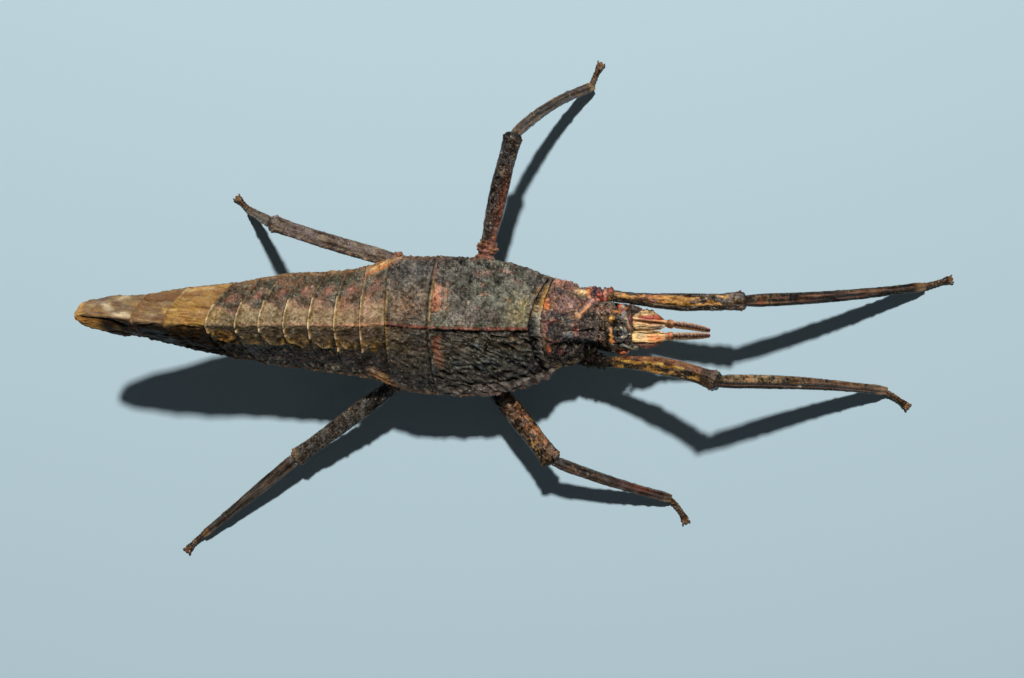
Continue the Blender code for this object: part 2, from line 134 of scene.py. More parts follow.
BOWS = {
    "fore_left": ((0, -0.55, 0), (0, -0.40, 0.2)),
    "fore_right": ((0, 0.90, 0), (0, 0.45, 0.2)),
    "mid_left": ((-0.2, 0, 0), (-0.45, 0.70, 0)),
    "mid_right": ((0.1, 0.1, 0), (-0.1, -0.30, 0.2)),
    "hind_left": ((0, -0.2, 0.2), (0, 0, 0)),
    "hind_right": ((0, 0, 0.2), (0, 0, 0.2)),
}
TARSUS_BOW = {
    "fore_left": (0, -0.05, -0.22),
    "fore_right": (0.1, 0.15, -0.22),
    "mid_left": (-0.05, 0.0, -0.22),
    "mid_right": (0.25, 0.2, -0.22),
    "hind_left": (0, -0.1, -0.22),
    "hind_right": (-0.1, 0.1, -0.22),
}
COXA_SHAPE = ((0.0, 3.3, 3.1), (0.6, 3.2, 2.9), (0.78, 2.5, 2.4), (0.9, 3.1, 2.6), (1.0, 2.4, 2.2))
COXA_SLIM = ((0.0, 2.9, 2.8), (0.6, 2.85, 2.6), (0.78, 2.35, 2.2), (0.9, 2.4, 2.3), (1.0, 1.9, 1.9))
FEMUR_FORE = ((0.0, 1.66, 1.7), (0.15, 1.78, 2.1), (0.35, 2.2, 2.5), (0.55, 2.65, 2.7), (0.85, 2.5, 2.5), (0.95, 2.8, 2.7), (1.0, 2.6, 2.6))
FEMUR_MID = ((0.0, 2.0, 2.0), (0.2, 2.6, 2.4), (0.5, 2.95, 2.6), (0.85, 2.75, 2.5), (0.95, 3.0, 2.7), (1.0, 2.8, 2.5))
FEMUR_HIND = ((0.0, 2.0, 2.0), (0.2, 2.4, 2.3), (0.5, 2.35, 2.3), (0.85, 2.2, 2.1), (0.95, 2.45, 2.4), (1.0, 2.3, 2.3))
TIBIAE = {
    "fore_left": ((0.0, 1.60, 1.55), (0.04, 1.80, 1.7), (0.10, 2.00, 1.85), (0.35, 1.90, 1.85), (0.6, 1.75, 1.7), (0.85, 1.50, 1.5), (0.96, 1.60, 1.45), (1.0, 1.35, 1.3)),
    "fore_right": ((0.0, 1.65, 1.6), (0.04, 1.85, 1.8), (0.10, 2.05, 1.95), (0.3, 2.10, 2.0), (0.6, 1.80, 1.75), (0.85, 1.55, 1.5), (0.96, 1.60, 1.45), (1.0, 1.35, 1.3)),
    "mid_left": ((0.0, 1.25, 1.3), (0.05, 1.50, 1.5), (0.12, 1.62, 1.6), (0.5, 1.52, 1.5), (0.8, 1.42, 1.4), (0.96, 1.50, 1.4), (1.0, 1.30, 1.25)),
    "mid_right": ((0.0, 1.35, 1.4), (0.05, 1.60, 1.6), (0.12, 1.78, 1.7), (0.5, 1.66, 1.6), (0.8, 1.50, 1.45), (0.96, 1.55, 1.45), (1.0, 1.30, 1.25)),
    "hind_left": ((0.0, 1.50, 1.5), (0.06, 1.70, 1.7), (0.2, 1.62, 1.6), (0.6, 1.36, 1.4), (0.85, 1.18, 1.2), (0.96, 1.22, 1.2), (1.0, 1.10, 1.1)),
    "hind_right": ((0.0, 1.70, 1.6), (0.06, 2.00, 1.9), (0.2, 2.05, 1.95), (0.5, 1.75, 1.7), (0.8, 1.36, 1.35), (0.96, 1.22, 1.2), (1.0, 1.08, 1.1)),
}
FEMURS = {"fore": FEMUR_FORE, "mid": FEMUR_MID, "hind": FEMUR_HIND}
STOUT = {"fore_left": 1.0, "fore_right": 1.0, "mid_left": 0.94, "mid_right": 1.10, "hind_left": 1.0, "hind_right": 1.16}


# -------------------------------------------------------------- numbers
def mono(rows, column):
    """A monotone cubic through one column of a table, for whole arrays."""
    xs = np.array([row[0] for row in rows], float)
    ys = np.array([row[column] for row in rows], float)
    slope = np.diff(ys) / np.diff(xs)
    tangent = np.empty_like(ys)
    tangent[0], tangent[-1] = slope[0], slope[-1]
    a, b = slope[:-1], slope[1:]
    same = a * b > 0
    tangent[1:-1] = np.where(same, 2 * a * b / np.where(same, a + b, 1.0), 0.0)

    def read(x):
        x = np.clip(np.asarray(x, float), xs[0], xs[-1])
        i = np.clip(np.searchsorted(xs, x, side="right") - 1, 0, len(xs) - 2)
        h = xs[i + 1] - xs[i]
        t = (x - xs[i]) / h
        return (
            (2 * t**3 - 3 * t**2 + 1) * ys[i]
            + (t**3 - 2 * t**2 + t) * h * tangent[i]
            + (-2 * t**3 + 3 * t**2) * ys[i + 1]
            + (t**3 - t**2) * h * tangent[i + 1]
        )

    return read


def step(a, b, x):
    t = np.clip((x - a) / (b - a), 0.0, 1.0)
    return t * t * (3 - 2 * t)


def bell(x, width):
    return np.exp(-((x / width) ** 2))


def lattice(ix, iy, iz, seed):
    with np.errstate(over="ignore"):
        h = ix.astype(np.uint32) * np.uint32(374761393)
        h += iy.astype(np.uint32) * np.uint32(668265263)
        h += iz.astype(np.uint32) * np.uint32(1442695041)
        h += np.uint32((seed * 97531 + 12345) & 0xFFFFFFFF)
        h ^= h >> np.uint32(13)
        h *= np.uint32(1274126177)
        h ^= h >> np.uint32(16)
        h *= np.uint32(2246822519)
        h ^= h >> np.uint32(15)
    return h


def unit(h):
    return h.astype(np.float64) / 4294967295.0


def noise(p, seed=0):
    """Smooth noise from -1 to 1 over an array of points."""
    shape = p.shape[:-1]
    p = p.reshape(-1, 3)
    base = np.floor(p)
    f = p - base
    f = f * f * f * (f * (f * 6 - 15) + 10)
    i = base.astype(np.int64)
    total = np.zeros(len(p))
    for dx in (0, 1):
        wx = f[:, 0] if dx else 1 - f[:, 0]
        for dy in (0, 1):
            wy = f[:, 1] if dy else 1 - f[:, 1]
            for dz in (0, 1):
                wz = f[:, 2] if dz else 1 - f[:, 2]
                total += wx * wy * wz * unit(lattice(i[:, 0] + dx, i[:, 1] + dy, i[:, 2] + dz, seed))
    return (total * 2 - 1).reshape(shape)


def fbm(p, size, octaves=3, seed=0, gain=0.55):
    total, amp, weight = 0.0, 1.0, 0.0
    q = p / size
    for k in range(octaves):
        total = total + amp * noise(q + 17.3 * k, seed + 31 * k)
        weight += amp
        amp *= gain
        q = q * 2.03
    return total / weight


def ridges(p, size, octaves=2, seed=0):
    total, amp, weight = 0.0, 1.0, 0.0
    q = p / size
    for k in range(octaves):
        total = total + amp * (1 - np.abs(noise(q + 9.1 * k, seed + 53 * k)) * 2.2)
        weight += amp
        amp *= 0.5
        q = q * 2.1
    return np.clip(total / weight, -1, 1)


def cells(p, size, seed=0):
    """Distance to the nearest of scattered points, in cell sizes, and that point's own random number."""
    shape = p.shape[:-1]
    q = p.reshape(-1, 3) / size
    base = np.floor(q).astype(np.int64)
    best = np.full(len(q), 9.0)
    who = np.zeros(len(q))
    for dx in (-1, 0, 1):
        for dy in (-1, 0, 1):
            for dz in (-1, 0, 1):
                ix, iy, iz = base[:, 0] + dx, base[:, 1] + dy, base[:, 2] + dz
                h = lattice(ix, iy, iz, seed)
                px = ix + 0.15 + 0.7 * unit(h)
                py = iy + 0.15 + 0.7 * unit(lattice(ix, iy, iz, seed + 101))
                pz = iz + 0.15 + 0.7 * unit(lattice(ix, iy, iz, seed + 202))
                d = (q[:, 0] - px) ** 2 + (q[:, 1] - py) ** 2 + (q[:, 2] - pz) ** 2
                near = d < best
                best = np.where(near, d, best)
                who = np.where(near, unit(lattice(ix, iy, iz, seed + 303)), who)
    return np.sqrt(best).reshape(shape), who.reshape(shape)


def grains(p, size, seed=0, spread=0.62):
    d, who = cells(p, size, seed)
    return np.clip(1 - (d / spread) ** 2, 0, 1) * (0.35 + 0.65 * who), who


def srgb(r, g, b):
    c = np.array((r, g, b), float) / 255
    return np.where(c <= 0.04045, c / 12.92, ((c + 0.055) / 1.055) ** 2.4)


def mix(a, b, t):
    """a and b are colours or arrays of them; t is an array of weights."""
    t = np.clip(np.asarray(t, float), 0, 1)[..., None]
    return a * (1 - t) + b * t


# ------------------------------------------------------------ the palette
OLIVE = srgb(104, 101, 90)
SLATE = srgb(84, 86, 88)
DUSK = srgb(118, 102, 98)  # greyish purple
UMBER = srgb(66, 52, 42)
PITCH = srgb(26, 24, 22)
SAND = srgb(168, 150, 112)
KHAKI = srgb(162, 138, 98)
BARK = srgb(112, 92, 72)
BRICK = srgb(158, 86, 66)
RUST = srgb(186, 98, 56)
ROSE = srgb(176, 122, 104)
IVORY = srgb(226, 206, 170)
GOLD = srgb(196, 148, 66)
TAN = srgb(180, 138, 88)
HAZEL = srgb(132, 90, 58)
FLAME = srgb(236, 124, 30)
CREAM = srgb(240, 206, 146)
PEACH = srgb(222, 160, 104)
OXIDE = srgb(150, 62, 34)
YELLOW = srgb(212, 170, 60)


# ------------------------------------------------------------ mesh making
def outward(points, wrap=True):
    """Unit normals of a grid of points whose second axis runs round."""
    du = np.gradient(points, axis=0)
    dv = np.roll(points, -1, axis=1) - np.roll(points, 1, axis=1) if wrap else np.gradient(points, axis=1)
    n = np.cross(du, dv)
    n /= np.linalg.norm(n, axis=-1, keepdims=True) + 1e-12
    middle = points.mean(axis=1, keepdims=True)
    if ((points - middle) * n).sum() < 0:
        n = -n
    return n


class Piece:
    """One mesh built from wrapped grids, each closed at both ends and given its own rectangle of the UV square."""

    def __init__(self):
        self.verts, self.tints, self.pits = [], [], []
        self.flat, self.uvs, self.starts = [], [], []
        self.count = self.loops = 0

    def add(self, points, tint, pit, rect=(0.004, 0.004, 0.996, 0.996)):
        nu, nv = points.shape[:2]
        u0, v0, u1, v1 = rect
        margin = 0.012 * (u1 - u0)
        us = np.linspace(u0 + margin, u1 - margin, nu)
        vs = v0 + (v1 - v0) * np.arange(nv + 1) / nv
        half = (vs[:-1] + vs[1:]) / 2
        verts = points.reshape(-1, 3)
        i, j = np.meshgrid(np.arange(nu - 1), np.arange(nv), indexing="ij")
        k = (j + 1) % nv
        quads = np.stack([i * nv + j, i * nv + k, (i + 1) * nv + k, (i + 1) * nv + j], -1).reshape(-1, 4)
        quad_uv = np.stack([np.stack([us[i], vs[j]], -1), np.stack([us[i], vs[j + 1]], -1), np.stack([us[i + 1], vs[j + 1]], -1), np.stack([us[i + 1], vs[j]], -1)], -2).reshape(-1, 4, 2)
        ring = np.arange(nv)
        nxt = (ring + 1) % nv
        low, high = len(verts), len(verts) + 1
        verts = np.concatenate([verts, points[0].mean(axis=0)[None], points[-1].mean(axis=0)[None]])
        last = (nu - 1) * nv
        tri = np.concatenate([np.stack([nxt, ring, np.full(nv, low)], -1), np.stack([last + ring, last + nxt, np.full(nv, high)], -1)])
        tip0, tip1 = np.stack([np.full(nv, u0), half], -1), np.stack([np.full(nv, u1), half], -1)
        a0, b0 = np.stack([np.full(nv, us[0]), vs[:-1]], -1), np.stack([np.full(nv, us[0]), vs[1:]], -1)
        a1, b1 = np.stack([np.full(nv, us[-1]), vs[:-1]], -1), np.stack([np.full(nv, us[-1]), vs[1:]], -1)
        tri_uv = np.concatenate([np.stack([b0, a0, tip0], 1), np.stack([a1, b1, tip1], 1)])
        a, b, c, d = (verts[quads[:, q]] for q in range(4))
        middle = verts.mean(axis=0)
        a, b, c, d = a - middle, b - middle, c - middle, d - middle
        if (np.cross(a, b) * c).sum() + (np.cross(a, c) * d).sum() < 0:
            quads, quad_uv, tri, tri_uv = quads[:, ::-1], quad_uv[:, ::-1], tri[:, ::-1], tri_uv[:, ::-1]
        self.verts.append(verts)
        self.tints.append(np.concatenate([tint.reshape(-1, 3), tint[:1].reshape(-1, 3).mean(axis=0)[None], tint[-1:].reshape(-1, 3).mean(axis=0)[None]]))
        self.pits.append(np.concatenate([pit.reshape(-1), [pit[0].mean(), pit[-1].mean()]]))
        self.flat += [quads.reshape(-1) + self.count, tri.reshape(-1) + self.count]
        self.uvs += [quad_uv.reshape(-1, 2), tri_uv.reshape(-1, 2)]
        self.starts += [self.loops + np.arange(len(quads)) * 4, self.loops + quads.size + np.arange(len(tri)) * 3]
        self.loops += quads.size + tri.size
        self.count += len(verts)
        return self

    def make(self, name, material, slot, node=None):
        verts, flat, starts, uvs = (np.concatenate(group) for group in (self.verts, self.flat, self.starts, self.uvs))
        colour = np.concatenate(self.tints)
        colour = np.concatenate([colour, np.ones((len(colour), 1))], axis=1)
        mesh = bpy.data.meshes.new(name)
        mesh.vertices.add(len(verts))
        mesh.vertices.foreach_set("co", ((verts + SHIFT) * MM).astype(np.float32).reshape(-1))
        mesh.loops.add(len(flat))
        mesh.polygons.add(len(starts))
        mesh.polygons.foreach_set("loop_start", starts.astype(np.int32))
        mesh.loops.foreach_set("vertex_index", flat.astype(np.int32))
        mesh.update(calc_edges=True)
        layer = mesh.uv_layers.new(name="OFBake")
        layer.data.foreach_set("uv", uvs.astype(np.float32).reshape(-1))
        paint = mesh.color_attributes.new("tint", "FLOAT_COLOR", "POINT")
        paint.data.foreach_set("color", np.clip(colour, 0, 1).astype(np.float32).reshape(-1))
        field = mesh.attributes.new("pit", "FLOAT", "POINT")
        field.data.foreach_set("value", np.concatenate(self.pits).astype(np.float32))
        mesh.shade_smooth()
        obj = bpy.data.objects.new(name, mesh)
        bpy.context.scene.collection.objects.link(obj)
        mesh.materials.append(material)
        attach(obj, "root")
        if node:
            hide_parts(node)
        return obj


def cap(points, tint, pit, depth, end, dark=0.45, rows=4):
    """Adds rounding rows past one end of a grid, turning in towards its middle; depth is how far they bulge."""
    row = 0 if end == 0 else -1
    edge, middle = points[row], points[row].mean(axis=0)
    inner = points[1 if end == 0 else -2].mean(axis=0)
    along = middle - inner
    along /= np.linalg.norm(along) + 1e-12
    turned = []
    for k in range(1, rows + 1):
        angle = 0.5 * math.pi * k / (rows + 0.35)
        turned.append(middle + (edge - middle) * math.cos(angle) + along * depth * math.sin(angle))
    turned = np.array(turned)
    extra_tint, extra_pit = np.repeat(tint[row][None] * dark, rows, axis=0), np.repeat(pit[row][None], rows, axis=0)
    if end == 0:
        return np.concatenate([turned[::-1], points]), np.concatenate([extra_tint, tint]), np.concatenate([extra_pit, pit])
    return np.concatenate([points, turned]), np.concatenate([tint, extra_tint]), np.concatenate([pit, extra_pit])


def frames(path):
    """Side and upward directions along a line of points."""
    tangent = np.gradient(path, axis=0)
    tangent /= np.linalg.norm(tangent, axis=1, keepdims=True)
    across = np.cross(tangent, (0.0, 0.0, 1.0))
    across /= np.linalg.norm(across, axis=1, keepdims=True) + 1e-9
    upward = np.cross(across, tangent)
    return across, upward


def tube(path, wide, tall, around=16, square=1.0):
    """A grid of rings along a line of points, with its angles."""
    path = np.asarray(path, float)
    across, upward = frames(path)
    theta = 2 * np.pi * (np.arange(around) + 0.5) / around
    c, s = np.cos(theta), np.sin(theta)
    u, v = np.sign(c) * np.abs(c) ** square, np.sign(s) * np.abs(s) ** square
    wide, tall = np.broadcast_to(wide, len(path)), np.broadcast_to(tall, len(path))
    points = path[:, None] + across[:, None] * (u[None, :] * wide[:, None] / 2)[..., None] + upward[:, None] * (v[None, :] * tall[:, None] / 2)[..., None]
    return points, np.broadcast_to(theta, points.shape[:2])


def curve(knots, count):
    """A smooth line through a few knots."""
    knots = np.asarray(knots, float)
    at = np.linspace(0, len(knots) - 1, count)
    i = np.clip(at.astype(int), 0, len(knots) - 2)
    t = (at - i)[:, None]
    before, after = knots[np.maximum(i - 1, 0)], knots[np.minimum(i + 2, len(knots) - 1)]
    a, b = knots[i], knots[i + 1]
    m0, m1 = (b - before) / 2, (after - a) / 2
    return (2 * t**3 - 3 * t**2 + 1) * a + (t**3 - 2 * t**2 + t) * m0 + (-2 * t**3 + 3 * t**2) * b + (t**3 - t**2) * m1


def flat_tint(points, colour):
    return np.broadcast_to(colour, points.shape) * np.ones(points.shape)


# -------------------------------------------------------------- materials
def cuticle(name, rough=0.55, swing=0.2, bump=0.5, grain=3600.0, contrast=0.45, specular=0.5, coat=0.0, warm=0.25, specks=0.5):
    """Dry insect cuticle: the painted tint, broken up by fine grain, darker in its pits and lighter on its grains as
    painted shade and highlight, sprinkled with pale painted glints, with rough and worn spots.
    """
    mat = bpy.data.materials.new(name)
    mat.use_nodes = True
    nodes, links = mat.node_tree.nodes, mat.node_tree.links
    shader = nodes["Principled BSDF"]
    shader.inputs["Coat Weight"].default_value = coat
    shader.inputs["Coat Roughness"].default_value = 0.25
    place = nodes.new("ShaderNodeTexCoord")
    tint = nodes.new("ShaderNodeAttribute")
    tint.attribute_name = "tint"
    pit = nodes.new("ShaderNodeAttribute")
    pit.attribute_name = "pit"

    def tex(kind, scale, **settings):
        node = nodes.new(kind)
        links.new(place.outputs["Object"], node.inputs["Vector"])
        node.inputs["Scale"].default_value = scale
        for key, value in settings.items():
            node.inputs[key].default_value = value
        return node

    fine = tex("ShaderNodeTexNoise", grain, Detail=5.0, Roughness=0.68)
    blotch = tex("ShaderNodeTexNoise", grain * 0.16, Detail=4.0, Roughness=0.6)
    pebble = tex("ShaderNodeTexVoronoi", grain * 0.85)

    spread = nodes.new("ShaderNodeMapRange")
    spread.inputs["From Min"].default_value = 0.32
    spread.inputs["From Max"].default_value = 0.68
    spread.inputs["To Min"].default_value = 1.0 - contrast
    spread.inputs["To Max"].default_value = 1.0 + contrast
    links.new(fine.outputs["Fac"], spread.inputs["Value"])
    # painted shade and highlight: the tint is darkened in the pits and lightened on the raised grains
    deep = nodes.new("ShaderNodeMapRange")  # pits keep dirt and shade
    deep.inputs["From Min"].default_value = -0.9
    deep.inputs["From Max"].default_value = 0.9
    deep.inputs["To Min"].default_value = 0.24
    deep.inputs["To Max"].default_value = 1.56
    links.new(pit.outputs["Fac"], deep.inputs["Value"])
    sheen = nodes.new("ShaderNodeMapRange")  # and are too dusty to shine
    sheen.inputs["From Min"].default_value = -0.45
    sheen.inputs["From Max"].default_value = 0.65
    sheen.inputs["To Min"].default_value = specular * 0.10
    sheen.inputs["To Max"].default_value = specular * 1.5
    links.new(pit.outputs["Fac"], sheen.inputs["Value"])
    links.new(sheen.outputs["Result"], shader.inputs["Specular IOR Level"])
    both = nodes.new("ShaderNodeMath")
    both.operation = "MULTIPLY"
    links.new(spread.outputs["Result"], both.inputs[0])
    links.new(deep.outputs["Result"], both.inputs[1])
    grey = nodes.new("ShaderNodeVectorMath")
    grey.operation = "SCALE"
    links.new(tint.outputs["Color"], grey.inputs[0])
    links.new(both.outputs[0], grey.inputs["Scale"])
    warmth = nodes.new("ShaderNodeMix")
    warmth.data_type = "RGBA"
    warmth.blend_type = "OVERLAY"
    ramp = nodes.new("ShaderNodeMapRange")
    ramp.inputs["From Min"].default_value = 0.45
    ramp.inputs["From Max"].default_value = 0.70
    ramp.inputs["To Min"].default_value = 0.0
    ramp.inputs["To Max"].default_value = warm
    links.new(blotch.outputs["Fac"], ramp.inputs["Value"])
    links.new(ramp.outputs["Result"], warmth.inputs["Factor"])
    links.new(grey.outputs[0], warmth.inputs[6])
    warmth.inputs[7].default_value = (0.62, 0.40, 0.28, 1.0)
    # scattered pale specks: painted glints
    glint_cells = tex("ShaderNodeTexVoronoi", grain * 0.62, Randomness=1.0)
    near = nodes.new("ShaderNodeMapRange")
    near.inputs["From Min"].default_value = 0.30
    near.inputs["From Max"].default_value = 0.16
    links.new(glint_cells.outputs["Distance"], near.inputs["Value"])
    pick = nodes.new("ShaderNodeMapRange")
    pick.inputs["From Min"].default_value = 0.80
    pick.inputs["From Max"].default_value = 0.95
    pick.inputs["To Max"].default_value = specks
    split = nodes.new("ShaderNodeSeparateColor")
    links.new(glint_cells.outputs["Color"], split.inputs["Color"])
    links.new(split.outputs["Red"], pick.inputs["Value"])
    chosen = nodes.new("ShaderNodeMath")
    chosen.operation = "MULTIPLY"
    links.new(near.outputs["Result"], chosen.inputs[0])
    links.new(pick.outputs["Result"], chosen.inputs[1])
    glint_specked = nodes.new("ShaderNodeMix")
    glint_specked.data_type = "RGBA"
    links.new(chosen.outputs[0], glint_specked.inputs["Factor"])
    links.new(warmth.outputs[2], glint_specked.inputs[6])
    glint_specked.inputs[7].default_value = (0.62, 0.48, 0.28, 1.0)
    links.new(glint_specked.outputs[2], shader.inputs["Base Color"])

    gloss = nodes.new("ShaderNodeMapRange")
    gloss.inputs["From Min"].default_value = 0.3
    gloss.inputs["From Max"].default_value = 0.7
    gloss.inputs["To Min"].default_value = max(0.08, rough - swing)
    gloss.inputs["To Max"].default_value = min(1.0, rough + swing)
    links.new(blotch.outputs["Fac"], gloss.inputs["Value"])
    # the darkest, dampest places shine most
    shade = nodes.new("ShaderNodeRGBToBW")
    links.new(glint_specked.outputs[2], shade.inputs["Color"])
    damp = nodes.new("ShaderNodeMapRange")
    damp.inputs["From Min"].default_value = 0.01
    damp.inputs["From Max"].default_value = 0.16
    damp.inputs["To Min"].default_value = 0.72
    damp.inputs["To Max"].default_value = 1.12
    links.new(shade.outputs["Val"], damp.inputs["Value"])
    worn = nodes.new("ShaderNodeMath")
    worn.operation = "MULTIPLY"
    worn.use_clamp = True
    links.new(gloss.outputs["Result"], worn.inputs[0])
    links.new(damp.outputs["Result"], worn.inputs[1])
    links.new(worn.outputs[0], shader.inputs["Roughness"])

    high = nodes.new("ShaderNodeMath")
    high.operation = "SUBTRACT"
    links.new(fine.outputs["Fac"], high.inputs[0])
    half = nodes.new("ShaderNodeMath")
    half.operation = "MULTIPLY"
    half.inputs[1].default_value = 0.45
    links.new(pebble.outputs["Distance"], half.inputs[0])
    links.new(half.outputs[0], high.inputs[1])
    lift = nodes.new("ShaderNodeBump")
    lift.inputs["Strength"].default_value = bump
    lift.inputs["Distance"].default_value = 0.00012
    links.new(high.outputs[0], lift.inputs["Height"])
    links.new(lift.outputs["Normal"], shader.inputs["Normal"])
    return mat


# ------------------------------------------------------------------- body
LEFT, RIGHT = mono(BODY_ROWS, 1), mono(BODY_ROWS, 2)
MIDDLE, RISE, DROP = (mono(BODY_ROWS, k) for k in (3, 4, 5))
ROLL, BOW = mono(ROLL_DEG, 1), mono(SUTURE_BOW, 1)


def body_grid(stations, over, rim, under):
    """Points, across (-1 right margin to 1 left) and belly (0 above, 0 to 1 below) over s x round."""
    across = np.linspace(-1, 1, over)
    # closer together at the keel and the margins
    across = across - 0.045 * np.sin(2 * np.pi * across)
    blend = (np.arange(rim) + 1) / (rim + 1)
    angle = np.linspace(0, np.pi, under)
    kind = np.concatenate([np.zeros(over), np.ones(rim), np.full(under, 2.0), np.full(rim, 3.0)])
    a = np.concatenate([across, np.ones(rim), np.cos(angle), -np.ones(rim)])
    g = np.concatenate([np.zeros(over + rim), angle, np.zeros(rim)])
    m = np.concatenate([np.zeros(over), blend, np.ones(under), 1 - blend])
    s = stations[:, None]
    side = np.where(kind == 2, 1 - 0.75 * np.sin(g), np.where(kind == 0, np.abs(a), 1.0))[None]
    x = s + 0.92 * BOW(s) * side**1.75
    left, right = LEFT(x), RIGHT(x)
    half, centre = (left - right) / 2, (left + right) / 2
    rise, drop, middle = RISE(x), DROP(x), MIDDLE(x)
    roll = np.radians(ROLL(x))
    edge = np.minimum(MARGIN_EDGE, 0.8 * drop)
    up = 1 - np.abs(a)[None]
    z_top = rise * (up + ROOF_FULLNESS * np.sin(np.pi * up))
    y_top = half * a[None]
    sin_g = np.sin(g)[None]
    y_low = half * 0.985 * np.sign(a)[None] * np.abs(a[None]) ** 0.8
    z_low = -edge - (drop - edge) * sin_g**BELLY_SQUARE
    mm = m[None]
    rimmed = (kind[None] == 1) | (kind[None] == 3)
    y = np.where(kind[None] == 0, y_top, np.where(rimmed, half * a[None] * (1 - 0.015 * mm) + 0.10 * np.sin(np.pi * mm) * a[None], y_low))
    z = np.where(kind[None] == 0, z_top, np.where(rimmed, -edge * mm, z_low))
    lean = roll * np.where(z > 0, KEEL_LEAN, 1.0)
    points = np.stack([x + 0 * y, centre + y - z * np.tan(lean), middle + z + y * np.tan(roll)], -1)
    belly = np.where(kind == 2, np.sin(g), 0.0)[None] + 0 * x
    across_all = a[None] + 0 * x
    top = (kind == 0)[None] & np.ones_like(x, bool)
    return points, across_all, belly, top, half


def spots(p, marks, up=None):
    """Rounded rises and hollows placed from above: (x, y, half length, half width, turn in degrees, height)."""
    total = np.zeros(p.shape[:-1])
    for x, y, a, b, turn, height in marks:
        c, s = math.cos(math.radians(turn)), math.sin(math.radians(turn))
        dx, dy = p[..., 0] - x, p[..., 1] - y
        u, v = (dx * c + dy * s) / a, (-dx * s + dy * c) / b
        total += height * np.exp(-(u**2 + v**2))
    return total if up is None else total * up


def line_mark(p, x0, y0, x1, y1, width):
    """1 on a straight stroke seen from above, falling off over its width."""
    dx, dy = x1 - x0, y1 - y0
    length2 = dx * dx + dy * dy
    t = np.clip(((p[..., 0] - x0) * dx + (p[..., 1] - y0) * dy) / length2, 0, 1)
    ox, oy = p[..., 0] - x0 - t * dx, p[..., 1] - y0 - t * dy
    return np.exp(-((ox**2 + oy**2) / width**2))


def dabs(c, p, marks, keep=1.0):
    """Soft-edged patches of colour placed from above: (x, y, half length, half width, turn, colour, strength)."""
    for x, y, a, b, turn, colour, strength in marks:
        k, s = math.cos(math.radians(turn)), math.sin(math.radians(turn))
        dx, dy = p[..., 0] - x, p[..., 1] - y
        u, v = (dx * k + dy * s) / a, (-dx * s + dy * k) / b
        c = mix(c, colour, np.clip(strength * np.exp(-((u**2 + v**2) ** 1.5)) * keep, 0, 1))
    return c


def stretched(p, angle, along, across, tall=1.0):
    """Points squeezed so that noise of them runs in long wrinkles at this angle."""
    c, s = math.cos(math.radians(angle)), math.sin(math.radians(angle))
    u = (p[..., 0] * c + p[..., 1] * s) / along
    v = (-p[..., 0] * s + p[..., 1] * c) / across
    return np.stack([u, v, p[..., 2] / tall], -1)


def rough_skin(p, seed, size=0.45):
    """Fine unevenness from about -1 in its pits to 1 on its grains, and each grain's own number."""
    g1, who = grains(p, size, seed)
    g2, _ = grains(p, size * 0.5, seed + 1)
    n1 = fbm(p, size * 1.4, 3, seed + 2)
    n2 = fbm(p, size * 3.2, 2, seed + 4)
    pits = step(0.15, 0.60, noise(p / (size * 0.75), seed + 3))
    return np.clip(1.0 * (g1 - 0.25) + 0.35 * (g2 - 0.22) + 0.8 * n1 + 0.8 * n2 - 0.60 * pits, -1.3, 1.3), who, g1


def warp(p, size, amount, seed):
    """The points pushed about by slow noise, so that patterns on them wander."""
    return p + amount * np.stack([noise(p / size, seed), noise(p / size + 7.7, seed + 1), noise(p / size + 15.1, seed + 2)], -1)


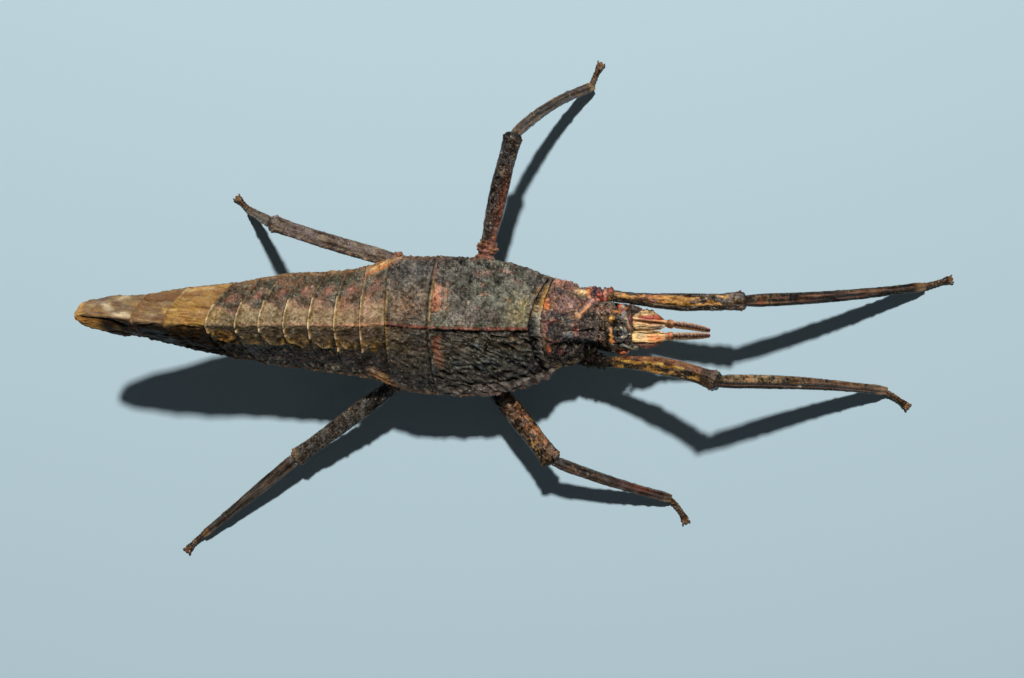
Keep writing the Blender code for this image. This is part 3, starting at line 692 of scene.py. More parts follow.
def tergum_relief(name, p, s, q, belly, top, half, x0, x1):
    """Height of the surface in millimetres above the plain form, its fine part, and marks for the paint."""
    length = x1 - x0
    a = (s - x0) / length  # 0 at the hind edge, 1 at the front one
    d = np.abs(q) * half  # distance from the keel
    above = top.astype(float)
    soft = 1 - 0.72 * step(0.05, 0.6, belly)
    fine, who, grain = rough_skin(p, 7, 0.32 if name in ("mesothorax", "metathorax") else 0.30)
    big = fbm(p, 2.0, 3, 3)
    right = step(-0.02, -0.10, q) * above
    left = step(0.02, 0.10, q) * above
    marks = {"who": who, "grain": grain, "big": big, "right": right, "left": left}
    relief = 0.13 * big * soft
    strength = 0.095
    wander = warp(p, 1.6, 0.30, 31)
    qw = q + 0.055 * noise(p / 1.1, 33) + 0.03 * noise(p / 0.45, 34)
    beads, _ = grains(p * np.array((1, 0.4, 0.4)), 0.62, 21, 0.7)
    if name == "mesothorax":
        relief += 0.13 * bell((s - x0 - 0.17) / 0.16, 1.0) * above * step(0.97, 0.88, np.abs(q))
    if name == "metathorax":
        relief -= 0.14 * bell((s - x1 + 0.16) / 0.15, 1.0) * above * step(0.97, 0.88, np.abs(q))
    relief += bell(np.abs(q) - 1.0, 0.05) * (1 - belly) * (0.20 * beads - 0.03)

    if name.startswith("abdomen") and name not in ("abdomen_tip", "abdomen_10"):
        tail = 1.0 if name == "abdomen_9" else 0.0
        number = int(name.split("_")[1])
        show = {2: 0.45, 3: 0.75, 4: 1.0, 5: 1.0, 6: 0.85, 7: 0.60, 8: 0.65, 9: 0.12}[number]
        low = {2: -0.46, 3: -0.46, 4: -0.26, 5: -0.24, 6: -0.14, 7: -0.15, 8: -0.2, 9: -0.1}[number]
        crest = bell((s - x0 + 0.08) / 0.27, 1.0)
        reach = step(0.52, 0.45, qw) * step(low - 0.05, low + 0.03, qw)
        wobble = 0.70 + 0.55 * noise(wander * 2.1, 41)
        ridge = crest * reach * (0.30 + 0.30 * show) * wobble
        ends = crest * (0.8 * bell(q - 0.46, 0.035) + bell(q - low, 0.035) + bell(q + 0.23, 0.035) * (2 <= number <= 4)) * 0.28
        rear = bell((s - x0 + 0.17) / 0.20, 1.0)
        outer = crest * (1 - reach) * 0.15 * wobble
        dash = bell((s - x0 - 0.12 - 0.5 * (np.abs(q) - 0.66)) / 0.24, 1.0) * step(0.60, 0.72, q) * step(0.98, 0.9, q)
        edge_line = 0.49 - 0.22 * np.clip(a, 0, 1)
        plateau = (1 - step(-0.05, 0.06, np.abs(qw) - edge_line)) * (1 - 0.4 * tail)
        carina = bell(np.abs(qw) - edge_line, 0.035) * (1 - 0.6 * tail)
        keel = bell(d, 0.24) * (0.15 + 0.10 * noise(p * 2.2, 43))
        lx, ly = (a - 0.42) * length + 0.35 * noise(p / 1.0, 49), (q + 0.31) * half + 0.35 * noise(p / 1.0, 50)
        bowl = np.hypot(lx / 1.15, (ly + 0.10 * lx) / 0.90)
        uneven = step(-0.5, 0.1, noise(p / 0.8, 51))
        lobe = bell(bowl - 1.0, 0.26) * step(0.9, -0.2, ly) * right * (0.35 + 0.65 * uneven)
        inner_lobe = bell(bowl - 0.42, 0.22) * right * (1 - 0.6 * uneven)
        side_bump = np.exp(-(((a - 0.52) / 0.20) ** 2 + ((q - 0.64) / 0.085) ** 2))
        low_wrinkle = ridges(stretched(wander, -12, 1.5, 0.55), 1.0, 2, 45)
        relief += above * (ridge + ends + outer + 0.12 * dash + 0.10 * plateau + 0.07 * carina + keel + 0.26 * lobe + 0.16 * inner_lobe + 0.20 * side_bump)
        relief += 0.13 * low_wrinkle * right * step(-0.40, -0.52, q)
        relief += above * left * 0.05 * ridges(stretched(wander, 60, 1.2, 0.5), 1.0, 2, 46)
        nodules = np.clip(np.sin((p[..., 0] + 0.25 * noise(p / 0.9, 47)) * 2 * np.pi / 0.98), 0, 1) ** 1.5
        nodules = nodules * step(-0.5, 0.2, noise(p / 1.3, 52))
        relief += (bell(q + 0.88, 0.050) + 0.7 * bell(q + 0.70, 0.04) * np.roll(nodules, 4, axis=0)) * 0.26 * nodules
        marks.update(ridge=above * crest * reach * np.sqrt(show), white=above * rear * reach * step(-0.30, -0.20, q) * show ** 0.6 * (0.6 + 0.55 * step(-0.2, 0.3, noise(wander * 1.5, 42))), ends=above * ends / 0.28, front_glow=above * bell(s - x0 - 0.85, 0.42) * step(0.16, 0.28, q) * step(0.60, 0.46, q), outer=above * crest * (1 - reach), dash=above * dash, plateau=above * plateau,
                     carina=above * carina, keel=above * bell(d, 0.22), lobe=lobe, inner=inner_lobe, bump=above * side_bump, nodules=bell(q + 0.88, 0.05) * nodules * above)
        if tail:
            grain_way = ridges(stretched(wander, -4, 2.6, 0.36), 1.0, 2, 61)
            relief += above * 0.13 * grain_way
            fine = 0.34 * fine + 0.75 * grain_way - 0.10
            strength = 0.035
    elif name in ("abdomen_10", "abdomen_tip"):
        strength = 0.030
        grain_way = ridges(stretched(wander, -6, 2.4, 0.36), 1.0, 2, 61)
        relief += above * 0.11 * grain_way
        fine = 0.30 * fine + 0.70 * grain_way - 0.05
        if name == "abdomen_10":
            crest = bell((s - x0 - 0.05) / 0.22, 1.0)
            relief += above * crest * 0.12 + above * bell(d, 0.3) * 0.08
            marks.update(crest=above * crest, keel=above * bell(d, 0.3))
        else:
            # the last plate lies in a boat of the one below, with a cleft along its right side
            cleft = np.maximum(line_mark(p, -60.0, 3.05, -56.0, 2.62, 0.22), line_mark(p, -56.0, 2.62, -53.6, 1.75, 0.34)) * (q < 0.30) * step(-60.4, -59.9, p[..., 0])
            lip = line_mark(p, -60.6, 2.3, -54.2, 0.45, 0.26)
            knobs = spots(p, ((-56.3, 4.6, 1.0, 0.45, -10, 0.20), (-53.9, 3.6, 1.3, 0.5, -8, 0.2), (-58.6, 3.6, 0.8, 0.35, -10, 0.14)), above)
            relief += -0.46 * cleft + 0.14 * lip + knobs
            marks.update(cleft=cleft, lip=lip, knobs=knobs)
    elif name == "metathorax":
        wr = ridges(stretched(wander, -35, 1.5, 0.62), 1.0, 2, 71)
        wl = ridges(stretched(wander, 65, 1.3, 0.60), 1.0, 2, 73)
        keel = bell(d, 0.20) * (0.32 + 0.22 * noise(wander * 1.7, 43))
        crest = bell((s - x0 - 0.02) / 0.17, 1.0)
        reach = 1 - step(0.46, 0.56, np.abs(qw))
        beaded = 0.6 + 0.8 * np.clip(noise(p * 3.2, 44), 0, 1)
        relief += above * (keel + crest * (0.22 * reach * beaded + 0.04)) + 0.17 * wr * right + 0.08 * wl * left
        relief += spots(p, ((-15.3, 4.6, 0.4, 0.25, 80, 0.16), (-16.9, 4.1, 0.3, 0.3, 0, 0.22), (-14.2, 8.2, 0.35, 0.3, 0, 0.18), (-15.9, 7.6, 0.3, 0.3, 0, 0.14), (-14.1, -3.9, 0.5, 0.25, -30, 0.2)), above)
        marks.update(keel=above * bell(d, 0.24), ridge=above * crest * reach, outer=above * crest * (1 - reach), wrinkle=wr * right)
    elif name == "mesothorax":
        wr = ridges(stretched(wander, -26, 2.4, 0.62), 1.0, 2, 81)
        lumps, _ = grains(stretched(wander, -24, 2.0, 1.0), 0.62, 82, 0.75)
        wl = ridges(stretched(wander, 62, 1.3, 0.62), 1.0, 2, 83)
        slot_on = step(-12.3, -11.9, s) * step(2.50, 2.10, s)
        wob = 0.10 * noise(p[..., :1].repeat(3, -1) * 0.9, 84)
        keel = bell(d + wob, 0.19) * (0.42 + 0.26 * noise(wander * 1.5, 85)) * slot_on
        under_keel = bell(q * half + 0.52, 0.22) * slot_on * above
        inner_edge = 2.20 + 1.30 * np.abs(q) ** 1.3
        groove = bell((s - (inner_edge + 3.58) / 2) / (0.12 + 0.54 * (1 - np.abs(q))), 1.0) * step(1.0, 0.92, np.abs(q))
        groove_floor = bell((s - (inner_edge + 3.3) / 2) / (0.05 + 0.22 * (1 - np.abs(q))), 1.0) * step(0.6, 0.3, np.abs(q))
        wall = bell((s - inner_edge + 0.05) / 0.15, 1.0) * step(1.0, 0.92, np.abs(q))
        thin = bell((s - 3.90) / 0.13, 1.0) * step(0.95, 0.8, np.abs(q))
        hind = bell((s + 12.0) / 0.16, 1.0)
        flange = (bell(-q - 0.93, 0.055) * 0.26 - bell(-q - 0.83, 0.045) * 0.24) * step(-10, -4, s) + (bell(q - 0.965, 0.03) * 0.16 - bell(q - 0.91, 0.03) * 0.08)
        rim_lumps, _ = grains(stretched(p, 12, 1.5, 1.0), 0.70, 86, 0.75)
        relief += right * (0.30 * wr + 0.14 * (lumps - 0.25)) + left * (0.10 * wl)
        fine = np.clip(fine * (1 - 0.45 * right) + right * (0.75 * wr + 0.20 * (lumps - 0.35)) + 0.35 * left * wl, -1.5, 1.4)
        relief += 0.16 * rim_lumps * bell(-q - 0.93, 0.06)
        relief += above * (keel - 0.24 * under_keel - 0.62 * groove + 0.26 * wall + 0.34 * thin + 0.15 * hind + flange)
        knobs = ((-4.06, 7.83, 0.26, 0.26, 0, 0.30), (-3.77, 6.45, 0.45, 0.22, 10, 0.30), (-4.79, 4.35, 0.26, 0.30, 0, 0.28), (-0.58, 5.51, 0.55, 0.15, -40, 0.30),
                 (-6.3, 5.28, 0.18, 0.18, 0, 0.22), (-5.12, -0.97, 0.50, 0.28, -25, 0.26), (-3.77, -3.05, 0.65, 0.32, 10, 0.46), (-2.32, -3.48, 0.75, 0.34, -20, 0.42),
                 (0.29, -2.61, 0.75, 0.34, 22, 0.46), (-4.57, -4.20, 0.60, 0.26, -35, 0.40), (-7.6, 8.6, 0.3, 0.3, 0, 0.2), (-9.2, 7.0, 0.25, 0.3, 0, 0.16), (1.0, 7.6, 0.35, 0.25, 30, 0.18), (-7.9, -3.4, 0.6, 0.25, -20, 0.25), (-8.8, -5.6, 0.5, 0.3, -10, 0.2),
                 (-1.6, 8.6, 0.5, 0.2, 20, 0.2), (0.6, 7.7, 0.5, 0.18, 25, 0.2), (2.2, -4.6, 0.5, 0.3, 15, 0.3), (-0.6, -5.4, 0.5, 0.3, 10, 0.3))
        relief += spots(p, knobs, above)
        strength = 0.105
        marks.update(keel=above * bell(d + wob, 0.23) * slot_on, under=under_keel, groove=above * groove, groove_floor=above * groove_floor, wall=above * wall, thin=above * thin, hind=above * hind, wrinkle=wr * right, lumps=lumps * right, knobs=spots(p, knobs, above), flange=bell(-q - 0.93, 0.07) * step(-10, -4, s) * above)
    elif name == "prothorax":
        x, y = wander[..., 0], wander[..., 1]
        ring = np.hypot((x - 6.25) / 1.0, (y - 1.25) / 1.05)
        rim = bell(ring - 1.45, 0.22) * step(7.5, 6.6, x)
        boss = np.exp(-((ring / 1.15) ** 4))
        furrow = bell(y - 1.18, 0.16) * step(7.0, 7.8, x) * step(13.0, 12.0, x)
        bank = (bell(y - 2.0, 0.42) * (1 + 0.8 * noise(p / 1.2, 141)) + bell(y - 0.35, 0.42) * (1 + 0.8 * noise(p / 1.2, 142))) * step(6.8, 7.8, x)
        moat = bell(y + 0.95, 0.55) * step(5.8, 7.0, x) + 0.7 * bell(y - 3.1, 0.38) * step(6.3, 7.2, x)
        cross = bell(x - 9.3, 0.20) * (1 - step(2.2, 4.0, np.abs(y - 1.2)))
        plate = np.exp(-((((x - 7.9) / 2.0) ** 2 + ((y - 5.15) / 1.35) ** 2) ** 2))
        plate_edge = bell(((x - 7.9) / 2.0) ** 2 + ((y - 5.15) / 1.35) ** 2 - 1.0, 0.25)
        plate_r = np.exp(-((((x - 8.4) / 2.3) ** 2 + ((y + 2.75) / 0.95) ** 2) ** 2))
        band = line_mark(wander, 9.7, 3.1, 12.1, 5.6, 0.36)
        bar = line_mark(wander, 5.7, 8.55, 8.6, 8.3, 0.36)
        knobs = ((10.35, 6.95, 0.42, 0.36, 20, 0.40), (9.55, 7.10, 0.34, 0.30, 0, 0.34), (10.9, 6.75, 0.36, 0.36, -20, 0.38), (10.4, 2.9, 0.55, 0.45, 0, 0.26), (10.8, -2.7, 0.42, 0.42, 0, 0.40), (7.0, 6.9, 0.25, 0.25, 0, 0.2), (9.4, 6.6, 0.26, 0.22, 0, 0.24),
                 (6.4, -2.4, 0.3, 0.3, 0, 0.26), (7.6, -3.2, 0.3, 0.3, 0, 0.24), (9.4, -3.4, 0.3, 0.25, 0, 0.26), (11.9, 3.6, 0.35, 0.3, 0, 0.24), (12.3, 0.0, 0.35, 0.3, 0, 0.22), (11.0, 1.9, 0.3, 0.25, 0, 0.22), (6.15, 1.35, 0.16, 0.24, 0, 0.26), (9.9, 3.1, 0.3, 0.4, 0, 0.2))
        relief += above * (0.34 * rim + 0.10 * boss - 0.20 * furrow + 0.26 * bank - 0.42 * moat - 0.22 * cross + 0.26 * plate + 0.10 * plate_edge + 0.22 * plate_r + 0.38 * band + 0.24 * bar)
        relief += above * 0.14 * ridges(stretched(warp(p, 0.9, 0.35, 143), 40, 0.9, 0.55), 1.0, 2, 144)
        relief += spots(p, knobs, above)
        strength = 0.11
        marks.update(rim=above * rim, boss=above * boss, bank=above * bank, moat=above * moat, plate=above * plate, plate_edge=above * plate_edge, plate_r=above * plate_r, band=above * band, bar=above * bar, cross=above * cross, furrow=above * furrow, knobs=spots(p, knobs, above))
    if name in ("metathorax", "abdomen_2"):
        # soft lobes where the hind hips hang
        lobes = 0.0
        for lx, ly, turn in ((-19.0, 10.55, 28), (-19.2, -5.6, -30)):
            lobes = lobes + spots(p, ((lx, ly, 1.9, 0.50, turn, 1.0),))
        fold = 0.5 + 0.5 * np.sin((p[..., 1] * 0.9 - p[..., 0] * 0.45 * np.sign(p[..., 1])) * 7.0)
        relief += np.clip(lobes, 0, 1) * (0.26 * fold + 0.10)
        strength = strength * (1 - 0.8 * np.clip(lobes, 0, 1))
        marks["lobes"] = np.clip(lobes * 1.3, 0, 1)
        marks["fold"] = fold
    strength = strength * soft
    return relief + strength * fine, fine, marks


def tergum_paint(name, p, s, q, belly, top, x0, x1, fine, marks):
    a = (s - x0) / (x1 - x0)
    above = top.astype(float)
    patch = fbm(p, 1.7, 3, 91)
    slow = fbm(p, 3.6, 2, 92)
    speck = fbm(p, 0.42, 3, 93)
    dust = noise(p / 0.20, 95)
    who, grain, right = marks["who"], marks["grain"], marks["right"]
    lit = step(0.15, 0.95, fine) * (0.6 + 0.6 * noise(p / 1.3, 94))
    under = mix(UMBER, BARK, 0.35 + 0.8 * patch)
    if name == "mesothorax":
        c = mix(srgb(100, 98, 82), srgb(78, 80, 75), step(0.30, 0.95, q) * 0.7 + 0.6 * patch)
        c = mix(c, DUSK * 0.95, 0.55 * step(0.0, 0.5, slow + 0.5 * bell(p[..., 0] + 2.6, 2.6) * bell(q - 0.66, 0.16)))
        pale = np.exp(-(((p[..., 0] - 1.7) / 2.4) ** 2 + ((p[..., 1] - 4.0) / 1.9) ** 2))
        c = mix(c, mix(srgb(196, 188, 156), srgb(190, 170, 110), 0.4 + patch), pale * (0.30 + 1.0 * step(0.0, 0.5, speck)))
        c = mix(c, srgb(176, 174, 156), 0.55 * step(0.15, 0.6, speck) * step(0.0, 0.4, dust))
        c = mix(c, PITCH * 1.4, (0.08 + 0.34 * step(0.40, 0.75, q)) * step(-0.1, 0.5, fbm(p, 0.8, 2, 303)) * (1 - 0.8 * pale))
        c = c * (1 - 0.22 * step(0.35, 0.75, q))[..., None]
        c = mix(c, HAZEL * 0.8, 0.25 * step(0.1, 0.5, fbm(p, 1.1, 2, 96)) * step(0.5, 0.2, q))
        c = dabs(c, warp(p, 0.5, 0.12, 309), (
            (0.9, 3.3, 1.6, 1.2, 20, srgb(170, 156, 112), 0.55), (1.6, 5.2, 0.6, 0.5, 0, srgb(196, 170, 96), 0.55), (0.6, 6.6, 0.9, 0.5, -30, srgb(160, 150, 120), 0.45), (-2.4, 5.0, 1.6, 0.9, 10, srgb(74, 80, 74), 0.40), (-7.6, 6.2, 1.8, 1.2, 0, srgb(84, 86, 76), 0.35),
            (-4.1, 9.6, 1.5, 0.45, 8, mix(ROSE, DUSK, 0.5), 0.60), (-0.8, 9.9, 1.2, 0.35, -14, mix(ROSE, DUSK, 0.4), 0.60), (0.6, 8.4, 1.0, 0.4, -20, mix(ROSE, DUSK, 0.5), 0.45),
            (-6.05, 8.35, 0.26, 0.34, 0, PITCH, 0.95), (-3.95, 7.7, 0.30, 0.25, 0, PITCH, 0.9), (-5.0, 6.5, 0.30, 0.20, 0, PITCH, 0.9), (-2.0, 8.3, 0.22, 0.28, 0, PITCH, 0.9), (-5.25, 4.4, 0.22, 0.34, 0, PITCH, 0.8),
            (0.0, 10.2, 0.40, 0.35, 0, PITCH, 0.85), (-3.5, 10.8, 0.36, 0.26, 0, PITCH, 0.85), (-2.6, 6.75, 0.2, 0.2, 0, PITCH, 0.8), (-0.85, 5.6, 0.2, 0.3, -40, PITCH, 0.8),
            (-4.3, 7.95, 0.30, 0.24, 0, srgb(140, 84, 62), 0.9), (-4.2, 6.5, 0.60, 0.18, 6, srgb(150, 96, 84), 0.9), (-4.85, 4.42, 0.32, 0.26, 0, srgb(120, 86, 80), 0.8), (-0.50, 5.62, 0.55, 0.16, -40, mix(TAN, SAND, 0.4), 0.95),
        ), 1 - right)
        # painted shade: black in the valleys of the right slope's wrinkles and in its low spots
        c = mix(c, PITCH, 0.8 * right * step(0.10, -0.45, marks["wrinkle"]))
        c = mix(c, mix(srgb(70, 58, 40), srgb(140, 112, 66), 0.35 + 0.6 * speck), 0.55 * right * step(0.50, 0.10, -q))
        c = mix(c, PITCH * 1.1, 0.65 * right * step(0.45, -0.25, fine))
        c = mix(c, mix(SLATE, HAZEL, 0.4) * 0.8, 0.45 * right * step(0.45, 0.8, -q))
        c = mix(c, srgb(122, 112, 98), 0.50 * right * step(0.80, 0.90, -q) * step(-9, -4, p[..., 0]) * step(-0.4, 0.3, fine))
        c = mix(c, mix(ROSE, DUSK, 0.4 + patch), 0.7 * right * step(0.955, 0.985, -q))
        # on the right slope: the grey and blue-grey patches on the lumps are painted highlights, the black strokes
        # between and below them painted shadows, the brown strokes the cuticle's own colour
        c = dabs(c, warp(p, 0.4, 0.12, 311), (
            (-5.12, -0.97, 0.50, 0.26, -25, srgb(96, 118, 128), 0.85), (-3.77, -2.95, 0.65, 0.26, 10, srgb(104, 108, 100), 0.85), (-2.32, -3.40, 0.75, 0.28, -20, srgb(96, 96, 86), 0.85), (0.29, -2.50, 0.70, 0.26, 22, srgb(110, 110, 92), 0.85), (-4.57, -4.10, 0.60, 0.20, -35, srgb(124, 138, 146), 0.85),
            (-3.3, -3.65, 0.8, 0.30, -10, PITCH * 0.7, 0.95), (0.4, -3.30, 0.9, 0.32, 12, PITCH * 0.7, 0.95), (-1.2, -2.0, 1.4, 0.26, -26, PITCH * 0.8, 0.9), (-4.0, -1.1, 1.5, 0.22, -26, PITCH * 0.8, 0.85), (2.2, -2.9, 0.5, 1.1, 35, PITCH * 0.6, 0.95),
            (-1.6, -1.25, 1.5, 0.16, -26, srgb(128, 104, 62), 0.75), (0.9, -1.35, 1.2, 0.14, -30, srgb(136, 110, 64), 0.75), (-7.6, -1.2, 1.5, 0.45, -15, srgb(106, 84, 52), 0.6),
        ), right)
        # rusty patches just in front of the hind suture
        local = s + 12.1
        fray = 0.35 * noise(p / 0.55, 97)
        qf = q + 0.05 * noise(p / 0.8, 197)
        rust = step(0.22, 0.50, local + fray) * step(1.85, 1.35, local + fray) * np.clip(step(0.16, 0.26, qf) * step(0.68, 0.56, qf) + step(-0.08, -0.16, qf) * step(-0.60, -0.48, qf), 0, 1)
        second = bell((local + 1.2 * fray - 2.35) / 0.45, 1.0) * np.clip(step(0.2, 0.3, qf) * step(0.70, 0.55, qf) + step(-0.18, -0.26, qf) * step(-0.66, -0.5, qf), 0, 1)
        c = mix(c, mix(mix(RUST, ROSE, 0.4), mix(BRICK, TAN, 0.5 + speck), 0.4 + patch) * 1.12, rust * step(-0.75, -0.15, speck) * 0.88)
        c = mix(c, mix(mix(GOLD, SAND, 0.4 + speck), ROSE, step(0.62, 0.8, q)), 0.85 * bell((local - 0.17) / 0.17, 1.0) * step(0.04, 0.10, q) * step(0.93, 0.80, q) * step(-0.6, 0.0, speck))
        c = mix(c, srgb(112, 120, 116), 0.80 * bell((local - 0.17) / 0.16, 1.0) * step(-0.05, -0.12, q) * step(-0.85, -0.70, q) * step(-0.6, 0.0, speck))
        c = mix(c, mix(ROSE, PEACH, 0.5 + speck), rust * step(0.1, 0.5, dust) * 0.55)
        c = mix(c, mix(RUST * 0.8, TAN * 0.8, 0.5 + patch), second * step(-0.1, 0.4, speck) * 0.8)
        c = mix(c, TAN * 0.8, 0.45 * step(1.3, 1.6, local) * step(2.9, 2.1, local) * step(0.12, 0.3, np.abs(q)) * step(0.65, 0.5, np.abs(q)) * step(-0.1, 0.4, speck))
        # painted shadow: black under the overhanging keel
        c = mix(c, PITCH, 0.85 * np.clip(marks["under"], 0, 1))
        c = mix(c, mix(BRICK * 0.85, UMBER, step(0.1, -0.4, speck)), np.clip(marks["keel"] * 1.25, 0, 1) * 0.92)
        c = mix(c, ROSE * 0.9, 0.35 * np.clip(marks["keel"], 0, 1) * step(0.0, 0.5, dust))
        c = mix(c, srgb(22, 24, 27), 0.97 * np.clip(marks["groove"] * 1.5, 0, 1))
        c = mix(c, mix(SLATE, DUSK, 0.5 + patch) * 0.75, 0.28 * marks["groove_floor"] * step(-0.4, 0.2, speck))
        c = mix(c, mix(DUSK, BRICK, 0.4 + patch) * 0.9, 0.75 * marks["wall"] * step(-0.5, 0.2, speck))
        c = mix(c, mix(srgb(186, 176, 166), DUSK, 0.15 + 0.5 * patch), 0.92 * np.clip(marks["thin"] * 1.2, 0, 1) * (1 - 0.5 * step(0.25, 0.6, np.abs(q))))
        c = mix(c, mix(GOLD * 1.05, FLAME, 0.3 * step(0.0, 0.4, dust)), 0.90 * bell((s - 3.90) / 0.30, 1.0) * step(0.18, 0.32, q) * step(0.95, 0.7, q) * step(-0.5, 0.1, speck))
        c = mix(c, GOLD, 0.60 * bell((s - 3.05 + 0.9 * np.abs(q - 0.4)) / 0.30, 1.0) * step(0.16, 0.28, q) * step(0.85, 0.6, q) * step(-0.3, 0.2, speck))
        c = mix(c, KHAKI, 0.4 * bell((s - 4.15) / 0.12, 1.0) * right * step(-0.2, 0.3, speck))
        c = mix(c, HAZEL, 0.55 * bell(np.abs(q) - 1.0, 0.05) * step(-0.4, 0.3, patch))
        c = mix(c, DUSK, 0.45 * marks["flange"])
        c = mix(c, mix(ROSE, TAN, 0.5 + patch), 0.42 * np.clip(marks["knobs"] * 3, 0, 1) * (1 - right) * step(-0.2, 0.3, speck))
        # blue-grey on the right slope's knobs: painted highlight
        c = mix(c, srgb(92, 112, 124), 0.5 * np.clip(marks["knobs"] * 2.6, 0, 1) * right * step(-0.2, 0.3, speck))
        c = mix(c, IVORY, 0.9 * np.exp(-(((p[..., 0] + 6.3) / 0.15) ** 2 + ((p[..., 1] - 5.28) / 0.18) ** 2)))
        c = mix(c, YELLOW, 0.9 * np.exp(-(((p[..., 0] + 0.05) / 0.25) ** 2 + ((p[..., 1] - 0.12) / 0.16) ** 2)))
        c = mix(c, mix(srgb(156, 152, 130), srgb(204, 194, 160), 0.2 + pale), (0.40 + 0.30 * pale) * lit * (1 - 0.6 * right))
        # painted shade: the right slope is darkened, less so near its margin
        c = c * (1 - 0.58 * right * (1 - 0.35 * step(0.80, 0.90, -q)))[..., None]
    elif name == "metathorax":
        c = mix(BARK * 0.9, OLIVE * 0.9, 0.5 + 0.9 * patch)
        c = mix(c, SLATE * 0.8, step(0.42, 0.85, np.abs(q)) * 0.65)
        c = mix(c, mix(TAN, ROSE, 0.4 + patch) * 0.92, 0.62 * np.exp(-(((p[..., 0] + 15.2) / 2.0) ** 2 + ((p[..., 1] - 4.9) / 1.7) ** 2)) * step(-0.5, 0.2, speck))
        c = mix(c, KHAKI * 0.85, 0.55 * step(-0.04, -0.1, q) * step(-0.5, -0.3, q) * step(0.75, 0.2, a) * step(-0.5, 0.2, speck))
        c = mix(c, SAND, 0.35 * step(0.2, 0.6, speck) * step(0.0, 0.4, dust))
        # painted shade: black in the valleys of the right slope's wrinkles
        c = mix(c, PITCH, 0.6 * right * step(0.05, -0.55, marks["wrinkle"]))
        c = mix(c, mix(BRICK * 0.9, UMBER, step(0.1, -0.4, speck)), np.clip(marks["keel"] * 1.2, 0, 1) * 0.9)
        c = mix(c, mix(GOLD, SAND, 0.5 + patch), 0.80 * marks["ridge"] * step(-0.5, 0.0, speck))
        c = mix(c, PITCH, 0.55 * bell((s - x1 + 0.16) / 0.16, 1.0) * above * step(-0.7, 0.0, speck))
        c = mix(c, HAZEL, 0.5 * bell(np.abs(q) - 1.0, 0.05))
        c = mix(c, mix(CREAM, FLAME * 0.9, 0.85 - 0.7 * marks["fold"]), 0.95 * marks["lobes"])
        c = mix(c, mix(KHAKI, GOLD, 0.3 + patch), 0.50 * lit)
        # painted shade: the right slope is darkened
        c = c * (1 - 0.40 * right)[..., None]
    elif name == "prothorax":
        y = p[..., 1]
        c = mix(DUSK * 0.80, mix(UMBER, SLATE, 0.35) * 0.85, 0.5 + 1.1 * patch)
        c = mix(c, mix(BRICK, ROSE, 0.3) * 0.85, 0.40 * step(0.05, 0.45, fbm(p, 0.9, 3, 98)) * step(2.2, 3.6, y))
        c = mix(c, SLATE * 0.75, 0.55 * marks["bank"] * step(-0.3, 0.3, patch))
        c = mix(c, SLATE * 0.6, 0.8 * marks["boss"] * (1 - marks["rim"]))
        c = mix(c, mix(ROSE * 0.9, DUSK, 0.5 + patch), 0.85 * marks["plate"] * (0.75 + 0.5 * speck))
        c = mix(c, HAZEL, 0.6 * marks["plate_edge"])
        c = mix(c, mix(UMBER * 0.7, SLATE * 0.6, 0.5 + patch), 0.7 * marks["plate_r"])
        c = mix(c, mix(BRICK * 0.85, ROSE * 0.7, 0.5 + speck), 0.85 * marks["rim"])
        c = mix(c, mix(srgb(196, 140, 124), PEACH, 0.3 + patch), 0.96 * marks["band"])
        c = mix(c, ROSE * 0.9, 0.9 * marks["bar"])
        c = mix(c, PITCH, 0.85 * np.clip(marks["moat"], 0, 1) + 0.6 * marks["furrow"])
        red = np.exp(-(((p[..., 0] - 9.4) / 0.32) ** 2 + ((y - 1.3) / 0.85) ** 2)) + 0.8 * np.exp(-(((p[..., 0] - 7.3) / 0.5) ** 2 + ((y + 1.85) / 0.35) ** 2)) + 0.5 * np.exp(-(((p[..., 0] - 5.9) / 0.4) ** 2 + ((y - 6.4) / 0.5) ** 2))
        c = mix(c, srgb(170, 52, 36), 0.75 * red * step(-0.6, 0.1, speck))
        c = mix(c, OXIDE, 0.45 * step(0.15, 0.5, fbm(p, 0.7, 3, 99)) * step(3.0, 5.0, y) * step(0.0, 0.5, dust + patch))
        pale = spots(p, ((10.35, 6.95, 0.50, 0.40, 20, 1.0), (9.55, 7.1, 0.36, 0.32, 0, 1.0), (10.9, 6.75, 0.40, 0.40, -20, 0.9), (9.8, 3.5, 0.30, 0.35, 30, 0.6)))
        c = mix(c, mix(CREAM, PEACH, 0.45 + patch), 0.88 * np.clip(pale, 0, 1))
        c = mix(c, TAN, 0.45 * step(0.20, 0.6, speck))
        c = mix(c, PITCH, 0.30 * step(0.1, 0.5, fbm(p, 0.9, 2, 304)))
